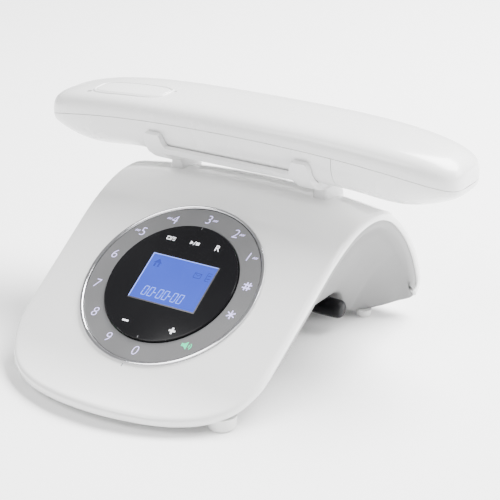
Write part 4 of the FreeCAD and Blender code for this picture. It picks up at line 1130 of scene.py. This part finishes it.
def make_screen():
    """The lit window in the glass, with its bevelled well, painted light on the well's left and top edges,
    and faint segments.
    """
    half_w, half_h = SCREEN_HALF_W, SCREEN_HALF_H
    house = [[(-14.2, 7.2), (-12.2, 9.4), (-10.2, 7.2)]]
    house += [oblong(-13.6, 5.2, -12.7, 7.1), oblong(-11.7, 5.2, -10.8, 7.1)]
    envelope = bars(0.3, (7.2, 4.6, 10.6, 4.6), (7.2, 7.0, 10.6, 7.0), (7.2, 4.6, 7.2, 7.0),
                    (10.6, 4.6, 10.6, 7.0))
    envelope += bars(0.25, (7.2, 7.0, 8.9, 5.7), (10.6, 7.0, 8.9, 5.7))
    battery = bars(0.3, (13.2, 4.2, 15.2, 4.2), (13.2, 8.2, 15.2, 8.2), (13.2, 4.2, 13.2, 8.2))
    battery += bars(0.5, (13.6, 5.4, 15.2, 5.4), (13.6, 6.9, 15.2, 6.9))
    # Painted light: two glowing strips on the window's left and top edges stand for the well's inner walls
    # lit by the backlight.
    lit_bevel_strips = [bar(-half_w - 0.1, -half_h, -half_w - 0.1, half_h + 0.2, 0.4),
             bar(-half_w - 0.2, half_h + 0.1, half_w, half_h + 0.1, 0.3)]
    window = [oblong(-half_w, -half_h, half_w, half_h)]
    flat_piece("screen", window, SCREEN_X, 0.0, GLASS_LEVEL - 0.02, SCREEN_BLUE, slot="lcd")
    frame_rows = []
    for grow, level in ((0.0, 0.0), (0.0, 0.16), (0.35, 0.12), (0.55, 0.0)):
        w, h = half_w + grow, half_h + grow
        frame_rows.append([(x, y, level) for x, y in oblong(-w, -h, w, h)])
    shape = strip(frame_rows, wrap=True)
    piece("screen_frame", shape, SCREEN_WELL, 30.0, dial_place(SCREEN_X, 0.0, GLASS_LEVEL))
    for name, shape, lift, material, thick in (
        ("screen_bevel_painted_light", lit_bevel_strips, 0.14, SEGMENT, 0.04),
        ("screen_digits", screen_digits(), 0.06, SEGMENT, 0.03),
        ("screen_icons", house + envelope + battery, 0.06, SEGMENT_DARK, 0.03),
    ):
        flat_piece(name, shape, SCREEN_X, 0.0, GLASS_LEVEL + lift, material, thick, "lcd")


make_screen()


def make_finger_stop():
    """The thin line in the deck just below the dial."""
    line = bars(0.5, (0.0, -6.2, 0.0, 0.0))
    flat_piece("finger_stop_line", line, -0.2, -DIAL_RADIUS - 0.6, -DECK_DROP + 0.02, SEAM_GREY, 0.12)


make_finger_stop()

# ---- power lead ----

LEAD_DIAMETER = 3.2
COIL_CENTRE = Vector((-82.0, 98.0))
COIL_BOTTOM, COIL_RADII = 0.9, (23.0, 19.8, 16.6, 13.4)
COIL_LAYERS, LAYER_STEP, FIRST_LAYER, TURN_POINTS = 4, 3.15, 1.75, 14
LEAD_ROUTE = (
    (7.1, 42.6, 10.8), (-10.0, 42.6, 10.4), (-29.0, 41.0, 6.8), (-49.0, 40.6, 2.8),
    (-70.0, 43.0, 2.0), (-88.0, 52.0, 2.0), (-98.0, 67.0, 2.1), (-99.8, 82.0, 2.8),
)
TAIL_ROUTE = (
    (-101.0, 98.0, 12.3), (-98.6, 106.5, 13.0), (-92.5, 112.9, 13.9), (-84.0, 116.0, 14.8),
    (-76.0, 116.9, 15.4), (-69.0, 117.0, 15.6),
)


def coil_points():
    """Turns a diameter apart, beside and on each other: three layers of four and one of three."""
    points = []
    for layer in range(COIL_LAYERS):
        top_layer = layer == COIL_LAYERS - 1
        order = COIL_RADII if layer % 2 == 0 else COIL_RADII[::-1]
        if top_layer:
            order = order[:-1]
        for k, radius in enumerate(order):
            onward = order[min(k + 1, len(order) - 1)]
            climb = LAYER_STEP if k == len(order) - 1 and not top_layer else 0.0
            for i in range(TURN_POINTS):
                share = i / TURN_POINTS
                ease = smoothstep((share - 0.6) / 0.4)
                r = radius + (onward - radius) * ease
                angle = math.pi - 2 * math.pi * share
                points.append((COIL_CENTRE.x + r * math.cos(angle), COIL_CENTRE.y + r * math.sin(angle),
                               COIL_BOTTOM + FIRST_LAYER + LAYER_STEP * layer + climb * ease))
    return points


def make_lead():
    """The flex as one spline, from the plug through the coil to the adapter."""
    points = list(LEAD_ROUTE) + coil_points() + list(TAIL_ROUTE)
    curve = bpy.data.curves.new("power_flex", "CURVE")
    curve.dimensions = "3D"
    spline = curve.splines.new("NURBS")
    spline.points.add(len(points) - 1)
    for target, point in zip(spline.points, points):
        target.co = (*[c * MM for c in point], 1.0)
    spline.order_u = 3
    spline.use_endpoint_u = True
    spline.resolution_u = 6
    curve.bevel_depth = LEAD_DIAMETER / 2 * MM
    curve.bevel_resolution = 4
    curve.materials.append(CORD_BLACK)
    lead = add_object("power_flex", curve)
    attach(lead, "base")
    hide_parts("power_lead", "lead_coil", "lead_tail")
    return lead


LYING = Matrix.Rotation(-math.pi / 2, 4, "Y")
COLLAR, RELIEF_RIBS, RIB_PINCH = 2.0, 6, 0.35


def relief_outline(start, tip, length):
    """A tapered strain relief with a collar and ribs."""
    outline = [(0.0, 0.0), (start, 0.0), (start, COLLAR)]
    for i in range(RELIEF_RIBS):
        low = COLLAR + (length - COLLAR) * i / RELIEF_RIBS
        high = COLLAR + (length - COLLAR) * (i + 0.6) / RELIEF_RIBS
        for z, pinch in ((low, RIB_PINCH), (low + 0.4, 0.0), (high, 0.0), (high + 0.2, RIB_PINCH)):
            r = start + (tip - start) * z / length
            outline.append((max(r - pinch, tip - 0.15), z))
    return outline + [(tip, length), (0.0, length)]


def make_plug():
    """The plug's lying body, the stem that goes up into the socket, and the ribbed relief."""
    body = [(0.0, 0.0), (2.6, 0.0), (3.6, 0.5), (4.1, 1.4), (4.3, 2.8), (4.3, 12.5), (4.0, 15.6), (3.2, 18.5),
            (0.0, 18.5)]
    neck = [(0.0, 0.0), (3.3, 0.0), (3.3, 4.6), (2.9, 5.2), (2.75, 5.3), (2.75, 11.0), (2.4, 12.4),
            (0.0, 12.4)]
    relief = relief_outline(3.0, 1.8, 20.0)
    made = []
    for name, outline, material, slot, place, count, node in (
        ("plug_body", body, GLOSS_BLACK, "gloss_black", moved(45.6, 42.6, 10.5) @ LYING, 48, "dc_plug"),
        ("plug_stem", neck, GLOSS_BLACK, "gloss_black", moved(35.0, 42.6, 10.8), 48, "dc_plug"),
        ("plug_relief_ribbed", relief, BLACK_PLASTIC, "black_plastic", moved(27.1, 42.6, 10.8) @ LYING, 32,
         "plug_strain_relief"),
    ):
        made.append(lathe(name, outline, material, place, count))
        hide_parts(node)
    return made


def make_adapter():
    """The mains adapter: a rounded block with a parting line and round pins."""
    low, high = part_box("adapter_body")
    centre = (low + high) / 2
    half = (high - low) / 2
    profile = [(-1.0, 0.93), (-0.97, 0.97), (-0.9, 0.995), (-0.06, 1.0), (-0.04, 0.985), (0.0, 0.985),
               (0.02, 1.0), (0.86, 0.97), (0.95, 0.95), (0.99, 0.92), (1.0, 0.88)]
    rows = []
    for share, spread in profile:
        z = (centre.z + share * half.z) / MM
        rows.append([((centre.x + ux * half.x * spread) / MM, (centre.y + uy * half.y * spread) / MM, z)
                     for ux, uy in ring(64, 0.4)])
    body = piece("adapter_case", capped(rows), BLACK_PLASTIC)
    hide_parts("adapter_body")
    place = moved(-55.0, 117.0, 15.6) @ LYING
    ribbed = relief_outline(2.8, 1.8, 14.0)
    relief = lathe("adapter_relief_ribbed", ribbed, BLACK_PLASTIC, place, 32)
    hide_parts("adapter_strain_relief")
    outline = [(0.0, 0.0), (2.0, 0.0), (2.0, 17.6), (1.6, 18.6), (0.9, 19.0), (0.0, 19.0)]
    pins = []
    for label, side in SIDES:
        place = moved(-30.0 + side * 9.5, 135.0, 13.5) @ Matrix.Rotation(-math.pi / 2, 4, "X")
        pins.append(lathe(f"mains_pin_{label}", outline, STEEL, place, 32))
        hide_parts("adapter_pins")
    return [body, relief] + pins


lead = make_lead()
plug_pieces = make_plug()
adapter_pieces = make_adapter()


# The tie's section: half width, half height and the way along it.
TIE_SECTION = ((6.95, 6.6, -4.0), (7.6, 7.2, -4.0), (7.75, 7.3, -3.6), (7.75, 7.3, 3.6), (7.6, 7.2, 4.0),
               (6.95, 6.6, 4.0))


def tie_piece():
    """The band that holds the coil's turns together."""
    x = COIL_CENTRE.x + 17.6 - 0.4
    middle = COIL_BOTTOM + 6.4
    loops = []
    for ux, uz in ring(48, 0.5):
        loops.append([(x + ux * hx, COIL_CENTRE.y + dy, middle + uz * hz) for hx, hz, dy in TIE_SECTION])
    tie = piece("coil_tie", strip(loops + loops[:1], wrap=True), BLACK_PLASTIC, 35.0)
    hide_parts("lead_tie")
    return tie


tie = tie_piece()

# ---- charge springs ----

SPRING_TURNS, SPRING_WIRE = 5, 0.4


def make_charge_spring(label):
    """A coil spring under the charging pin, filling the CAD spring's box."""
    low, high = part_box(f"charge_spring_{label}")
    low, high = low / MM, high / MM
    middle = (low + high) / 2
    wire = SPRING_WIRE / 2
    radius = (high.x - low.x) / 2 - wire
    count = 20
    rows = []
    for i in range(SPRING_TURNS * count + 1):
        angle = 2 * math.pi * i / count
        z = low.z + wire + (high.z - low.z - SPRING_WIRE) * i / (SPRING_TURNS * count)
        row = []
        for c, s in ring(8):
            reach = radius + wire * c
            row.append((middle.x + reach * math.cos(angle), middle.y + reach * math.sin(angle), z + wire * s))
        rows.append(row)
    spring = piece(f"charge_coil_{label}", capped(rows), STEEL, 60.0)
    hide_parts(f"charge_spring_{label}")
    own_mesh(spring)


for label in ("left", "right"):
    make_charge_spring(label)


# ---- finishes of the CAD pieces that stay ----

KEPT = (
    (CLEAR_GUIDE, "light_guide lcd_backlight finger_stop_light"),
    (BLACK_PLASTIC, "dial_tray lcd_frame base_speaker line_socket dc_socket key_switch ear_receiver ringer"),
    (BLACK_PLASTIC, "battery_holder"),
    (BLACK_GLASS, "lcd_panel"),
    (BOARD_GREEN, "touch_board main_board handset_board"),
    (STEEL, "radio_shield power_capacitor ballast_plate base_microphone housing_screws handset_screws"),
    (STEEL, "handset_microphone battery_contacts"),
    (GOLD, "radio_aerial charge_pin_left charge_pin_right charge_contact_plates handset_contacts"),
    (CELL_WRAP, "battery_cells"),
)
for material, nodes in KEPT:
    for node in nodes.split():
        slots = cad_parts[node].material_slots
        for slot in slots:
            slot.material = material
        if not slots:
            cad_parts[node].data.materials.append(material)


# ---- floor and light ----


FLOOR_HALF = 6.0


def make_stage():
    """A pale plain floor under and round the phone."""
    finish = Nodes("floor_white")
    finish.drift(3.0, 2.0, (0.93, 0.93, 0.93), (0.95, 0.95, 0.95))
    finish.fix(Roughness=0.7, Specular_IOR_Level=0.2)
    finish.fix(Emission_Color=(1.0, 1.0, 1.0, 1.0), Emission_Strength=0.08)
    mesh = bpy.data.meshes.new("floor")
    mesh.from_pydata([(x, y, 0) for x, y in oblong(-FLOOR_HALF, -FLOOR_HALF, FLOOR_HALF, FLOOR_HALF)], [],
                     [(0, 1, 2, 3)])
    mesh.materials.append(finish.material)
    add_object("floor", mesh)


def area_light(name, place, aim, size, power):
    """A white rectangular light at a place, turned to its aim, both in metres."""
    data = bpy.data.lights.new(name, "AREA")
    data.shape, data.size, data.size_y = "RECTANGLE", size[0], size[1]
    data.energy = power
    turn = (Vector(aim) - Vector(place)).to_track_quat("-Z", "Y").to_matrix().to_4x4()
    add_object(name, data, Matrix.Translation(place) @ turn)


def make_light():
    """A large soft key from behind, a weak fill from the front and one from the right."""
    area_light("rear_key_light", (0.35, 0.75, 1.15), (0.0, 0.0, 0.0), (1.1, 0.7), 105.0)
    area_light("front_fill_light", (-0.3, -0.9, 1.1), (0.0, 0.0, 0.05), (0.9, 0.6), 18.0)
    area_light("right_light", (0.9, 0.55, 0.5), (0.0, 0.0, 0.05), (0.5, 0.5), 12.0)
    world = bpy.data.worlds.new("studio")
    world.use_nodes = True
    background = world.node_tree.nodes["Background"]
    background.inputs["Color"].default_value = (1.0, 1.0, 1.0, 1.0)
    background.inputs["Strength"].default_value = 0.5
    bpy.context.scene.world = world


make_stage()
make_light()
